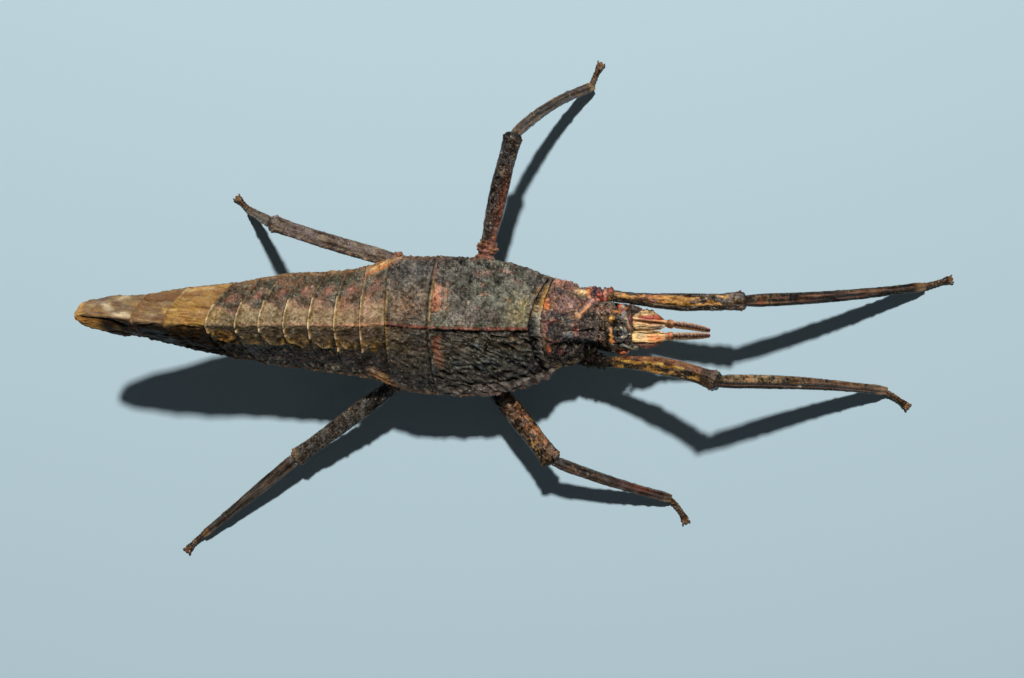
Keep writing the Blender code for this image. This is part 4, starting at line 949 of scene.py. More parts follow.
        # the long black stroke along the right of the middle is painted shadow
        c = dabs(c, warp(p, 0.6, 0.18, 313), (
            (9.2, -0.95, 3.1, 0.60, 0, PITCH * 0.7, 0.95), (7.8, 2.9, 1.5, 0.55, -12, srgb(50, 58, 58), 0.90), (7.0, 3.2, 0.4, 0.3, 20, srgb(84, 100, 104), 0.7), (8.4, 2.5, 0.4, 0.3, 0, srgb(78, 92, 96), 0.7),
            (8.4, 0.75, 0.8, 0.60, 0, srgb(104, 116, 118), 0.85), (7.3, 0.6, 0.5, 0.6, 0, srgb(44, 42, 42), 0.85), (5.6, 1.1, 0.9, 1.0, 0, srgb(62, 62, 66), 0.90), (6.35, 1.5, 0.12, 0.55, 0, srgb(176, 160, 130), 0.9),
            (4.65, 1.6, 0.20, 1.2, 0, srgb(132, 66, 70), 0.85), (5.4, 2.55, 0.9, 0.18, 10, srgb(128, 66, 66), 0.85), (5.5, -0.45, 0.9, 0.20, -10, srgb(130, 84, 84), 0.8), (6.6, 0.9, 0.18, 1.4, 0, srgb(40, 32, 32), 0.8),
            (8.0, -2.8, 2.3, 0.85, 0, srgb(46, 38, 34), 0.80), (7.9, 4.9, 1.6, 1.1, 0, srgb(158, 122, 112), 0.70), (7.4, 6.9, 1.6, 0.45, 0, srgb(66, 58, 60), 0.75), (6.6, 8.0, 1.3, 0.3, 0, srgb(176, 126, 104), 0.6), (8.6, 7.6, 0.9, 0.3, -8, srgb(150, 92, 70), 0.6), (6.0, 3.5, 0.7, 0.5, 30, srgb(70, 60, 60), 0.7),
            (10.6, 0.6, 0.9, 0.6, 0, srgb(92, 70, 70), 0.7), (10.6, 3.2, 0.7, 0.6, 0, srgb(66, 62, 58), 0.75),
        ), above * (0.80 + 0.35 * speck))
        c = mix(c, srgb(190, 176, 150), 0.55 * step(0.35, 0.75, dust) * step(0.0, 0.4, speck) * above)
        fl = np.exp(-((((p[..., 0] - 5.05) / 0.40) ** 2 + ((y - 5.0) / 0.95) ** 2) ** 2))
        fr = np.exp(-((((p[..., 0] - 5.35 - 0.25 * (-1.3 - y)) / 0.38) ** 2 + ((y + 1.5) / 0.80) ** 2) ** 2))
        mottle = fbm(p, 0.42, 2, 315)
        c = mix(c, mix(mix(FLAME, PEACH, step(0.0, 0.6, dust) * 0.6), OXIDE * 0.8, step(0.0, -0.45, mottle)), 0.95 * fl * step(-0.75, -0.35, mottle + 0.5 * dust))
        c = mix(c, mix(mix(FLAME, OXIDE, 0.55 + patch), OXIDE * 0.5, step(0.0, -0.4, mottle)), 0.92 * fr * step(-0.7, -0.1, speck))
        c = mix(c, KHAKI, 0.65 * step(-0.80, -0.93, q) * above * step(-0.5, 0.3, speck))
        c = mix(c, TAN, 0.5 * bell((s - 4.45) / 0.14, 1.0) * above * step(-0.3, 0.3, speck))
        c = mix(c, mix(KHAKI, PEACH, 0.5 + patch), 0.45 * lit)
        marks["calm"] = np.clip(pale + fl + fr + 0.8 * marks["band"], 0, 1)
        # painted shade: gloom marks the right front and the right side, and dim darkens them; painted light: the left
        # side is lightened
        marks["gloom"] = step(9.4, 10.8, p[..., 0]) * step(0.3, -0.8, y) + 0.35 * step(0.2, -1.0, y) * above * (1 - 0.9 * fr) * step(9.4, 8.0, p[..., 0])
        dim = 0.52 * step(0.2, -1.0, y) * above * (1 - 0.9 * fr) + 0.36 * step(9.6, 11.0, p[..., 0]) * step(0.3, -0.8, y)
        dim = dim * (1 - 0.9 * step(-0.80, -0.93, q) * above * step(9.5, 8.5, p[..., 0]))
        c = c * (1 - dim)[..., None] * (1 + 0.30 * step(2.4, 4.0, y))[..., None]
    elif name in ("abdomen_tip", "abdomen_10", "abdomen_9"):
        if name == "abdomen_tip":
            streak = fbm(stretched(warp(p, 1.2, 0.3, 305), -8, 2.2, 0.45), 1.0, 3, 306)
            c = mix(mix(TAN, SAND, 0.5 + 0.7 * patch) * 0.66, mix(HAZEL, DUSK, 0.6 + patch), 0.65 * step(-0.1, 0.45, streak))
            c = mix(c, GOLD * 0.8, 0.45 * step(0.1, 0.5, -streak))
            c = dabs(c, warp(p, 0.8, 0.25, 307), (
                (-56.1, 4.40, 0.85, 0.50, -30, IVORY * 0.92, 0.75), (-54.0, 3.15, 1.35, 0.42, -6, IVORY * 0.98, 0.85), (-54.6, 5.65, 0.9, 0.28, 4, IVORY * 0.9, 0.6),
                (-58.6, 4.6, 0.9, 0.4, 20, SAND, 0.5), (-57.6, 3.5, 1.3, 0.25, -6, mix(DUSK, HAZEL, 0.4), 0.75), (-55.3, 4.75, 0.5, 0.5, 0, HAZEL * 0.8, 0.6), (-58.2, 5.2, 1.6, 0.30, 10, srgb(124, 104, 88), 0.7), (-53.6, 4.4, 0.9, 0.4, -8, srgb(120, 96, 84), 0.6), (-56.8, 5.6, 0.9, 0.25, 6, srgb(130, 108, 92), 0.7),
            ))
            c = mix(c, mix(srgb(206, 160, 92), TAN, 0.35 + patch), 0.85 * step(-59.2, -60.3, p[..., 0]))
            c = mix(c, mix(srgb(200, 152, 84), HAZEL, 0.35 + patch), 0.85 * step(0.10, -0.02, q) * above)
            # painted shadow: dark strip right of the keel, where the upper plate's edge shades the one below
            c = mix(c, mix(UMBER * 0.32, HAZEL * 0.4, 0.3 + patch), 0.95 * step(0.16, 0.02, q) * step(-58.2, -56.6, p[..., 0]) * above)
            c = mix(c, mix(GOLD, SAND, 0.4 + 0 * a), 0.75 * marks["lip"] * step(-56.5, -58.5, p[..., 0]))
            c = dabs(c, p, ((-55.1, 1.55, 0.5, 0.25, -10, GOLD * 0.7, 0.8),))
            # painted shade: the cleft is darkened
            c = mix(c, PITCH * 0.7, 0.96 * np.clip(marks["cleft"] * 1.3, 0, 1))
        else:
            c = {"abdomen_10": mix(mix(HAZEL, BARK, 0.5) * 0.8, mix(TAN, SAND, 0.3) * 0.68, 0.50 + 0.8 * patch), "abdomen_9": mix(TAN * 0.80, GOLD * 0.76, 0.45 + 0.6 * patch)}[name]
            streak = fbm(stretched(warp(p, 1.2, 0.3, 305), -6, 2.4, 0.40), 1.0, 3, 308)
            c = mix(c, HAZEL * 0.9, 0.75 * step(-0.02, -0.45, streak))
            c = mix(c, mix(SAND, YELLOW, 0.35 + patch) * 1.02, 0.60 * step(0.05, 0.5, streak))
            c = mix(c, IVORY * 0.95, 0.30 * step(0.15, 0.6, patch) * step(0.1, 0.5, streak))
            # painted shade: the right slope is made near-black
            c = mix(c, UMBER * 0.34, 0.94 * step(-0.02, -0.20, q + 0.08 * noise(p / 0.8, 98)) * above)
            c = mix(c, HAZEL * 0.85, 0.5 * step(0.55, 0.9, q) * above)
            c = mix(c, DUSK, 0.25 * step(0.3, 0.8, q) * above * step(0.0, 0.5, slow))
            if name == "abdomen_9":
                c = mix(c, HAZEL * 0.8, 0.8 * np.clip(marks["ridge"] * 2.5, 0, 1))
                c = mix(c, mix(GOLD, IVORY, 0.4 + patch), 0.55 * marks["outer"] * step(0.5, 0.65, q))
                c = mix(c, mix(GOLD, IVORY, 0.4 + patch), 0.7 * step(0.86, 0.95, q) * above)
            else:
                c = mix(c, HAZEL * 0.8, 0.6 * marks["crest"])
            # painted shade: the right slope is darkened further
            c = c * (1 - 0.35 * right)[..., None]
        under = mix(UMBER, HAZEL, 0.4 + 0.8 * patch)
    else:
        number = int(name.split("_")[1])
        forward = step(-38.0, -22.0, p[..., 0])  # the front segments are pinker
        centre = mix(mix(KHAKI, mix(SAND, IVORY, 0.2), 0.40 + 0.8 * patch) * 1.02, mix(mix(TAN, SAND, 0.5), ROSE, 0.30 + 0.6 * patch) * 1.08, forward * 0.6)
        outer = mix(srgb(80, 78, 60), mix(BARK, HAZEL, 0.35) * 0.75, 0.40 + 0.9 * patch)
        outer = mix(outer, PITCH * 1.3, 0.30 * step(0.1, 0.5, fbm(p, 0.9, 2, 301)))
        outer = mix(outer, srgb(82, 88, 80), 0.35 * step(0.1, 0.5, fbm(p, 1.3, 2, 302)))
        c = mix(outer, centre, np.clip(marks["plateau"] * (0.80 + 0.5 * speck), 0, 1) * (0.95 if number < 8 else 0.75))
        c = mix(c, HAZEL, 0.50 * step(0.1, 0.5, fbm(p, 0.9, 2, 100)) * (1 - 0.7 * marks["plateau"]))
        c = mix(c, mix(BRICK, ROSE, 0.5 + speck) * 1.0, 0.92 * marks["bump"] * step(-0.5, 0.1, speck))
        c = mix(c, mix(GOLD, KHAKI, 0.5 + patch), 0.35 * marks["left"] * marks["plateau"] * bell((a - 0.25) / 0.22, 1.0) * step(34.0, 40.0, -p[..., 0]))
        c = mix(c, mix(RUST, ROSE, 0.5 + patch) * 1.05, 0.55 * marks["front_glow"] * forward * step(-0.4, 0.2, speck))
        c = mix(c, SAND, 0.18 * step(0.2, 0.6, speck) * step(0.0, 0.4, dust))
        # painted shade: dark umber over the right slope beside the keel
        c = mix(c, UMBER * 0.55, 0.72 * step(-0.02, -0.10, q) * above)
        c = mix(c, mix(GOLD, KHAKI, 0.4 + patch) * 1.05, 0.85 * np.clip(marks["lobe"] + 0.6 * marks["inner"], 0, 1) * step(-0.6, 0.0, speck))
        # painted shade on the outer part of the right slope
        c = mix(c, mix(UMBER * 0.7, DUSK * 0.55, 0.5 + patch), 0.75 * step(-0.50, -0.60, q) * above)
        c = mix(c, mix(DUSK, SAND, 0.35 + 0 * a) * 1.3, 0.85 * np.clip(marks["nodules"] * 1.4, 0, 1))
        c = mix(c, mix(ROSE, PEACH, 0.4 + patch), 0.75 * marks["keel"] * (0.25 + 0.75 * forward) * step(-0.7, 0.0, speck))
        c = mix(c, mix(mix(RUST, ROSE, 0.5), SAND, step(0.86, 0.70, q)), 0.80 * marks["dash"] * step(-0.4, 0.2, speck))
        c = mix(c, ROSE * 0.9, 0.35 * marks["carina"] * marks["left"])
        c = mix(c, mix(GOLD, TAN, 0.4 + patch) * 0.95, 0.88 * np.clip(marks["ridge"] * 1.5, 0, 1))
        c = mix(c, IVORY * 1.15, 0.95 * np.clip(marks["white"] * 1.3, 0, 1))
        c = mix(c, mix(IVORY, CREAM, 0.5 + 0 * a), 0.9 * np.clip(marks["ends"] * (q > -0.3), 0, 1) + 0.5 * np.clip(marks["ends"] * (q <= -0.3), 0, 1))
        c = mix(c, mix(BARK, KHAKI, 0.4 + patch), 0.60 * marks["outer"] * marks["left"] * step(-0.5, 0.2, speck))
        c = mix(c, PITCH, 0.55 * marks["left"] * bell((s - x0 - 0.30) / 0.22, 1.0) * step(0.44, 0.52, q))
        c = mix(c, mix(HAZEL, TAN, 0.5 + patch), 0.65 * bell(np.abs(q) - 1.0, 0.05))
        if "lobes" in marks:
            c = mix(c, mix(CREAM, FLAME * 0.9, 0.85 - 0.7 * marks["fold"]), 0.95 * marks["lobes"])
        c = mix(c, mix(SAND, IVORY * 0.85, 0.25 + patch), 0.40 * lit)
        c = mix(c, PITCH, 0.55 * step(0.88, 1.0, a))
        # painted shade: the right slope is darkened, less on its lobes and ridges
        c = c * (1 - 0.34 * right * (1 - 0.8 * np.clip(marks["lobe"] + marks["ridge"] + marks["ends"], 0, 1)))[..., None]
    return mix(c, under, step(0.05, 0.35, belly))


def make_body():
    shells = {
        "back": cuticle("thorax_cuticle", rough=0.36, swing=0.18, bump=0.9, grain=4600, contrast=0.36, warm=0.06, specks=0.6),
        "pronotum": cuticle("pronotum_cuticle", rough=0.34, swing=0.18, bump=0.9, grain=4600, contrast=0.38, warm=0.06, specks=0.5),
        "abdomen": cuticle("abdomen_cuticle", rough=0.38, swing=0.18, bump=0.8, grain=4400, contrast=0.30, warm=0.08, specks=0.45),
        "tail": cuticle("tail_cuticle", rough=0.42, swing=0.16, bump=0.45, grain=4200, contrast=0.26, specular=0.20, specks=0.10),
    }
    for name, x0, x1 in TERGA:
        front = 0.9 if name != "prothorax" else 0.0
        back = 0.0 if name == "abdomen_tip" else 0.16
        wide = float(LEFT((x0 + x1) / 2) - RIGHT((x0 + x1) / 2))
        spacing = {"mesothorax": 0.098, "prothorax": 0.088}.get(name, 0.105)
        over = int(2 * math.hypot(wide / 2, 4.2) / spacing)
        under = int(wide * 1.25 / 0.2)
        count = int((x1 - x0 + front) / spacing) + 2
        stations = np.linspace(x0 - back, x1 + front, count)
        if name == "abdomen_tip":
            # the blunt end closes in a short dome
            stations = np.concatenate([[-60.90], np.linspace(-60.86, x1 + front, count)])
        p, q, belly, top, half = body_grid(stations, over, 6, under)
        s = stations[:, None] + 0 * p[..., 0]
        relief, fine, marks = tergum_relief(name, p, s, q, belly, top, half, x0, x1)
        tint = tergum_paint(name, p, s, q, belly, top, x0, x1, fine, marks)
        calm = marks.get("calm", 0.0)
        even = 0.60 if name.startswith("abdomen") else 0.80  # the paint follows the relief less than it could
        # the gloom mark, painted shade, lowers the pit value: darker and less shiny there
        fine = even * fine * (1 - 0.8 * calm) + 0.30 * calm - 0.36 * marks.get("gloom", 0.0)
        if name in ("abdomen_tip", "abdomen_10", "abdomen_9", "abdomen_8"):
            dull = step(-0.04, -0.25, q) * top
            fine = fine * (1 - 0.5 * dull) - 0.42 * dull
            tint = tint * (1 + 0.45 * dull)[..., None] * (1 + dull[..., None] * np.array((0.16, 0.02, -0.14)))
        normal = outward(p)
        lip = 0.0 if name == "abdomen_tip" else 1.0
        tuck = step(x1 - 0.35, x1 + 0.10, s) * {"prothorax": 0.0, "abdomen_2": 0.15, "metathorax": 0.22}.get(name, 0.27)
        flare = 0.07 * step(x0 + 0.9, x0 + 0.1, s) * lip
        relief = relief * (1 - 0.7 * step(x1 - 0.1, x1 + 0.3, s) * (1 if front else 0))
        shaped = p + normal * (relief + flare - tuck)[..., None]
        round_end = name == "abdomen_tip"
        shaped, tint, fine = cap(shaped, tint, fine, 0.28 if round_end else -0.25, 0, 1.0 if round_end else 0.5)
        shaped, tint, fine = cap(shaped, tint, fine, 0.30 if name == "prothorax" else 0.1, 1, 0.5)
        slot = "tail" if name in ("abdomen_tip", "abdomen_10", "abdomen_9") else "abdomen" if name.startswith("abdomen") else "pronotum" if name == "prothorax" else "back"
        Piece().add(shaped, tint, fine).make(name + "_shell", shells[slot], slot, name)


make_body()


# ------------------------------------------------------------------- head
def section_rows(rows, x, theta, square=0.80, lean=5.0):
    left, right, top, bottom = (mono(rows, k)(x)[:, None] for k in (1, 2, 3, 4))
    c, s = np.cos(theta)[None], np.sin(theta)[None]
    u = np.sign(c) * np.abs(c) ** square * (left - right) / 2
    v = np.sign(s) * np.abs(s) ** square * (top - bottom) / 2
    k = math.radians(lean)
    return np.stack([x[:, None] + 0 * u, (left + right) / 2 + u * math.cos(k) - v * math.sin(k), (top + bottom) / 2 + u * math.sin(k) + v * math.cos(k)], -1)


def make_head():
    mat = cuticle("head_cuticle", rough=0.34, swing=0.18, bump=0.9, grain=4800, contrast=0.38, warm=0.04, specks=0.5)
    x = np.linspace(12.10, 20.60, 150)
    # more of the rings' points on top than below
    turn = np.linspace(0, 1, 400, endpoint=False)
    theta = 2 * np.pi * (turn - 0.055 * np.sin(2 * np.pi * (turn - 0.25)))
    p = section_rows(HEAD_ROWS, x, theta)
    th = np.broadcast_to(theta, p.shape[:2])
    px, py, pz = p[..., 0], p[..., 1], p[..., 2]
    up = step(-0.1, 0.5, np.sin(th))
    down = step(0.2, 0.7, -np.sin(th))

    # the eyes' places are cut back level with their inner sides
    notch = step(1.30, 0.95, np.abs(px - 16.55))
    for side, wall in ((1, 4.22), (-1, -1.62)):
        level = step(10.7, 11.4, pz) * step(14.6, 13.6, pz)
        over = np.maximum(0, side * (py - wall))
        p[..., 1] -= side * over * 0.93 * notch * level
    normal = outward(p)
    px, py = p[..., 0], p[..., 1]
    drift = warp(p, 0.5, 0.09, 201)

    big = fbm(p, 1.5, 3, 203)
    mid = fbm(p, 0.6, 3, 205)
    knob, who = grains(p, 0.44, 207)
    fine, _, _ = rough_skin(p, 209, 0.26)
    folds = ridges(stretched(warp(p, 1.1, 0.3, 210), -38, 1.3, 0.5), 1.0, 2, 211)
    relief = (0.12 * big + 0.11 * mid + 0.10 * (knob - 0.3) + 0.070 * fine) * (1 - 0.55 * down)
    relief += 0.20 * folds * up * step(15.2, 14.2, px)
    ruffle = ridges(stretched(warp(p, 0.7, 0.25, 212), 60, 0.7, 0.42), 1.0, 2, 213)
    relief += 0.15 * ruffle * up * step(16.9, 17.4, px)
    rows = ridges(stretched(warp(p, 0.6, 0.15, 214), 82, 1.0, 0.24), 1.0, 1, 215)
    in_rows = np.exp(-((((px - 12.4) / 1.6) ** 2 + ((py - 1.2) / 0.9) ** 2) ** 2))
    relief += 0.14 * rows * up * in_rows

    dome_r = np.hypot((px - 16.0) / 1.14, (py - 0.72) / 1.24)
    dome = np.exp(-(dome_r**4)) * up
    moat = bell(dome_r - 1.26, 0.20) * up * step(2.6, 2.2, np.abs(py - 1.0))
    marks = (
        # the gold tubercle and the pit beside it, and the crescent behind the dome
        (14.80, 2.90, 0.24, 0.38, -25, 0.34), (15.22, 2.42, 0.62, 0.27, 42, -0.60),
        (14.62, 1.25, 0.17, 0.36, 8, 0.26), (14.56, 0.60, 0.17, 0.40, 0, 0.30), (14.72, 0.02, 0.18, 0.36, -22, 0.32), (14.98, -0.40, 0.24, 0.22, -45, 0.30),
        # beside and in front of the left eye
        (16.9, 3.92, 0.95, 0.20, -4, 0.16), (13.2, 4.70, 1.6, 0.22, 3, 0.20), (14.6, 4.05, 0.55, 0.22, -10, 0.24), (15.65, 3.98, 0.5, 0.20, -12, 0.24), (16.52, 3.88, 0.26, 0.22, 0, 0.22), (16.27, 3.2, 0.28, 0.28, 0, 0.26),
        (17.9, 5.05, 0.6, 0.16, -12, 0.22), (17.75, 4.55, 0.36, 0.26, -20, 0.30), (18.30, 4.30, 0.34, 0.26, 0, 0.34), (18.85, 4.05, 0.36, 0.30, 20, 0.32), (17.35, 4.35, 0.25, 0.3, 0, -0.2),
        # pink ridges behind the feelers
        (16.95, 2.85, 0.14, 0.42, 28, 0.30), (17.22, 1.95, 0.14, 0.42, 22, 0.30), (17.55, 3.05, 0.30, 0.42, 10, 0.18), (17.62, 1.55, 0.22, 0.22, 0, 0.20), (17.52, 0.66, 0.15, 0.13, 0, 0.24),
        (17.35, -0.25, 0.46, 0.30, 0, 0.16), (16.62, -0.35, 0.62, 0.12, 48, -0.30),
        (16.10, 1.72, 0.15, 0.15, 0, 0.16), (16.25, 0.34, 0.15, 0.15, 0, 0.16), (15.6, 1.35, 0.22, 0.18, 20, 0.16), (15.35, 0.3, 0.22, 0.2, 0, 0.14), (16.7, 1.1, 0.22, 0.2, 0, 0.14), (15.9, -0.1, 0.25, 0.16, 0, 0.14), (15.95, 0.95, 0.30, 0.14, 40, -0.18), (16.45, 0.75, 0.14, 0.3, 10, -0.16),
        # rows of lumps over the back of the head
        (13.1, 1.35, 1.1, 0.16, -28, -0.30), (12.9, 2.9, 1.0, 0.18, -35, -0.18), (14.1, 3.45, 0.8, 0.20, -30, 0.20), (12.25, 2.68, 0.34, 0.22, -28, 0.28), (12.85, 2.28, 0.30, 0.20, -28, 0.26), (13.3, 1.98, 0.26, 0.26, 0, 0.28), (13.9, 2.6, 0.26, 0.26, 0, 0.20),
        (14.15, 0.35, 0.42, 0.85, 14, -0.34), (13.35, -0.15, 0.60, 0.22, -50, 0.26), (13.95, -1.05, 0.42, 0.22, -40, 0.28), (12.4, 0.1, 0.42, 0.24, 20, 0.22), (14.3, -1.5, 0.5, 0.18, 35, -0.2),
        (14.5, 3.5, 0.16, 0.16, 0, 0.16), (12.8, 3.5, 0.18, 0.18, 0, 0.18), (13.3, 3.9, 0.2, 0.16, 0, 0.2), (13.2, -1.8, 0.2, 0.2, 0, 0.2),
    )
    bumps = spots(p, marks, up)
    relief += 0.36 * dome - 0.26 * moat + bumps + 0.16 * knob * dome + 0.10 * mid * dome
    for cy, side in ((4.22, 1), (-1.62, -1)):
        rim = bell(np.hypot((px - 16.55) / 1.12, (pz - 12.2) / 1.5) - 1.0, 0.15) * step(0.9, 0.3, np.abs(py - cy)) * (side * (py - 1.5) > 0)
        relief += 0.16 * rim
    # mouth: upper lip and the jaws' sides
    lip = step(19.3, 19.9, px) * bell(py - 1.45, 0.95)
    relief += 0.16 * lip - 0.20 * bell(px - 19.35, 0.12) * step(2.2, 1.2, np.abs(py - 1.45))
    relief += 0.22 * np.exp(-(((px - 18.6) / 0.7) ** 2 + ((pz - 9.6) / 0.8) ** 2)) * (np.abs(np.cos(th)) > 0.4)

    patch, speck = fbm(p, 1.3, 3, 221), fbm(p, 0.36, 3, 223)
    tops = step(0.25, 0.8, fine)
    hollow = step(-0.05, -0.55, fine + 0.4 * mid)
    c = mix(mix(mix(UMBER, BARK, 0.4) * 1.25, OLIVE, 0.50 + 0.9 * patch), mix(DUSK, HAZEL, 0.4), step(0.0, 0.6, fbm(p, 1.9, 2, 225)) * 0.6)
    c = dabs(c, drift, (
        (12.9, 4.75, 1.9, 0.34, 2, mix(HAZEL, BRICK, 0.5), 0.75), (14.5, 5.1, 1.6, 0.25, 0, OLIVE * 0.75, 0.7),
        (13.5, 3.5, 1.3, 0.45, -30, mix(TAN, ROSE, 0.5) * 0.85, 0.70), (14.5, 4.1, 0.8, 0.26, -10, mix(TAN, ROSE, 0.6), 0.75),
        (12.6, 2.45, 1.3, 0.40, -32, mix(KHAKI, OLIVE, 0.4), 0.60), (13.3, 1.98, 0.30, 0.30, 0, mix(KHAKI, GOLD, 0.3), 0.75), (12.25, 2.7, 0.30, 0.24, 0, mix(KHAKI, GOLD, 0.2), 0.75),
        (13.4, 3.95, 0.36, 0.26, 0, srgb(84, 104, 112), 0.75), (15.75, 3.45, 0.30, 0.30, 0, srgb(52, 72, 76), 0.75),
        (12.3, 1.35, 1.9, 0.75, -4, mix(ROSE, HAZEL, 0.45) * 0.85, 0.80), (12.3, 0.15, 0.8, 0.4, 20, mix(KHAKI, DUSK, 0.5) * 0.85, 0.6),
        (13.35, -0.15, 0.60, 0.34, -50, mix(BRICK, TAN, 0.35), 0.75), (13.95, -1.08, 0.55, 0.30, -40, KHAKI * 0.85, 0.75),
    ), up * (0.75 + 0.5 * speck))
    # painted shade: black in the hollows
    c = mix(c, PITCH, 0.62 * hollow * up)
    fine = fine * 0.80
    c = mix(c, PITCH, 0.85 * up * step(0.0, -0.5, rows) * in_rows)
    # painted highlight: lighter on the raised tops
    c = mix(c, mix(SAND, srgb(164, 150, 132), 0.35 + speck), 0.60 * tops * up)
    c = mix(c, mix(SLATE * 0.85, OLIVE * 0.80, 0.5 + patch), 0.88 * dome)
    # painted shade in the dome's low spots and painted highlight on its raised ones
    c = mix(c, PITCH, 0.85 * dome * step(0.10, -0.35, fine))
    c = mix(c, mix(SAND, srgb(150, 160, 158), 0.5 + speck), 0.5 * dome * step(0.45, 0.95, fine))
    c = mix(c, PITCH, 0.90 * moat)
    c = dabs(c, drift, (
        (15.24, 2.40, 0.70, 0.28, 42, PITCH * 0.8, 1.0), (14.2, 0.2, 0.36, 0.95, 14, PITCH * 0.8, 0.95), (13.2, 1.35, 1.2, 0.16, -28, PITCH, 0.85), (14.1, 2.0, 0.35, 0.5, 0, srgb(112, 98, 80), 0.5), (15.0, 3.3, 0.6, 0.25, -10, srgb(120, 88, 66), 0.6), (13.2, 4.3, 1.2, 0.26, -6, srgb(116, 84, 74), 0.7), (16.62, -0.35, 0.75, 0.14, 48, PITCH, 0.9),
        (14.80, 2.92, 0.34, 0.46, -25, srgb(214, 150, 58), 1.0), (14.72, 3.04, 0.16, 0.22, -25, srgb(240, 200, 122), 0.9), (14.98, 2.72, 0.16, 0.22, -25, srgb(104, 70, 36), 0.8),
        (14.64, 1.42, 0.24, 0.40, 10, mix(PEACH, ROSE, 0.5), 1.0), (14.58, 0.75, 0.25, 0.62, 0, srgb(232, 172, 108), 1.0), (14.70, 0.08, 0.26, 0.50, -22, srgb(230, 156, 66), 1.0), (14.97, -0.38, 0.30, 0.26, -45, srgb(206, 108, 52), 1.0),
        (15.65, 3.98, 0.62, 0.22, -12, srgb(204, 134, 62), 0.85), (16.25, 4.12, 0.34, 0.14, -30, srgb(206, 96, 44), 0.8), (16.52, 3.88, 0.28, 0.22, 0, srgb(176, 168, 184), 0.75), (16.27, 3.2, 0.30, 0.30, 0, srgb(148, 142, 148), 0.75),
        (17.55, 2.95, 0.46, 0.85, 8, srgb(118, 66, 66), 0.85), (16.95, 2.85, 0.13, 0.48, 28, srgb(206, 158, 138), 0.9), (17.22, 1.95, 0.13, 0.52, 22, srgb(210, 156, 128), 0.95),
        (17.62, 1.5, 0.28, 0.26, 0, srgb(150, 112, 92), 0.7), (17.52, 0.66, 0.15, 0.13, 0, IVORY, 1.0), (17.35, -0.25, 0.55, 0.36, 0, srgb(72, 60, 58), 0.85),
        # the two near-white spots on the dome are painted highlights
        (16.12, 1.74, 0.15, 0.15, 0, srgb(226, 222, 178), 1.0), (16.27, 0.36, 0.17, 0.16, 0, IVORY, 1.0), (15.7, 1.4, 0.10, 0.12, 0, SAND, 0.8), (15.4, 0.3, 0.16, 0.13, 0, srgb(146, 150, 142), 0.8), (16.75, 1.1, 0.2, 0.14, 20, srgb(96, 120, 124), 0.8), (15.3, 1.55, 0.3, 0.15, 20, srgb(112, 128, 96), 0.8),
        (17.8, 5.02, 0.9, 0.20, -14, srgb(150, 100, 80), 0.85), (18.2, 4.4, 0.34, 0.26, 0, srgb(60, 70, 70), 0.85), (17.5, 4.4, 0.3, 0.2, 0, srgb(146, 116, 92), 0.8), (18.85, 4.1, 0.4, 0.3, 20, srgb(104, 70, 54), 0.8),
        (13.2, -1.8, 0.2, 0.2, 0, srgb(120, 122, 120), 0.7),
    ), up)
    # painted light: the left part behind the eyes is lightened, and the dome is lightened a little
    c = c * (1 + 0.62 * step(1.9, 3.2, py) * step(15.6, 14.4, px) * up + 0.22 * dome)[..., None]
    c = mix(c, RUST, 0.55 * np.exp(-(((px - 16.6) / 1.3) ** 2 + ((py - 4.12) / 0.16) ** 2)) * up * step(-0.3, 0.3, speck))
    c = mix(c, RUST * 0.8, 0.4 * np.exp(-(((px - 16.6) / 1.2) ** 2 + ((py + 1.5) / 0.2) ** 2)) * up)
    c = mix(c, mix(HAZEL, UMBER, 0.5 + patch), 0.8 * down)
    c = mix(c, HAZEL, 0.6 * lip)
    # painted shade: the right side is darkened
    c = c * (1 - 0.66 * step(0.35, -0.9, py + 0.25 * (px - 13.0)) * step(15.4, 14.2, px) - 0.22 * step(0.0, -1.2, py))[..., None]
    calm = spots(drift, (
        (14.80, 2.92, 0.40, 0.46, -25, 0.6), (14.64, 1.42, 0.24, 0.40, 10, 1.0), (14.58, 0.75, 0.25, 0.62, 0, 1.0), (14.70, 0.08, 0.26, 0.50, -22, 1.0), (14.97, -0.38, 0.30, 0.26, -45, 1.0),
        (15.65, 3.98, 0.62, 0.22, -12, 1.0), (17.22, 1.95, 0.15, 0.52, 22, 1.0), (16.95, 2.85, 0.15, 0.48, 28, 1.0), (17.52, 0.66, 0.18, 0.16, 0, 1.0), (16.12, 1.74, 0.18, 0.18, 0, 1.0), (16.27, 0.36, 0.18, 0.18, 0, 1.0),
    ), up)
    calm = np.clip(calm, 0, 1)
    fine = fine * (1 - 0.85 * calm) + 0.45 * calm
    # painted shade: the same right side gets a lower pit value, darker and less shiny
    gloom = step(0.35, -0.9, py + 0.25 * (px - 13.0)) * step(15.4, 14.2, px)
    fine = fine * (1 - 0.4 * gloom) - 0.42 * gloom
    full = p + normal * relief[..., None]
    full, c, fine = cap(full, c, fine, 0.20, 0, 0.5)
    full, c, fine = cap(full, c, fine, 0.25, 1, 0.8)
    head = Piece()
    head.add(full, c, fine, (0.004, 0.14, 0.996, 0.996))

    # small raised parts, each in its own cell along the foot of the UV square
    cell = iter(range(16))

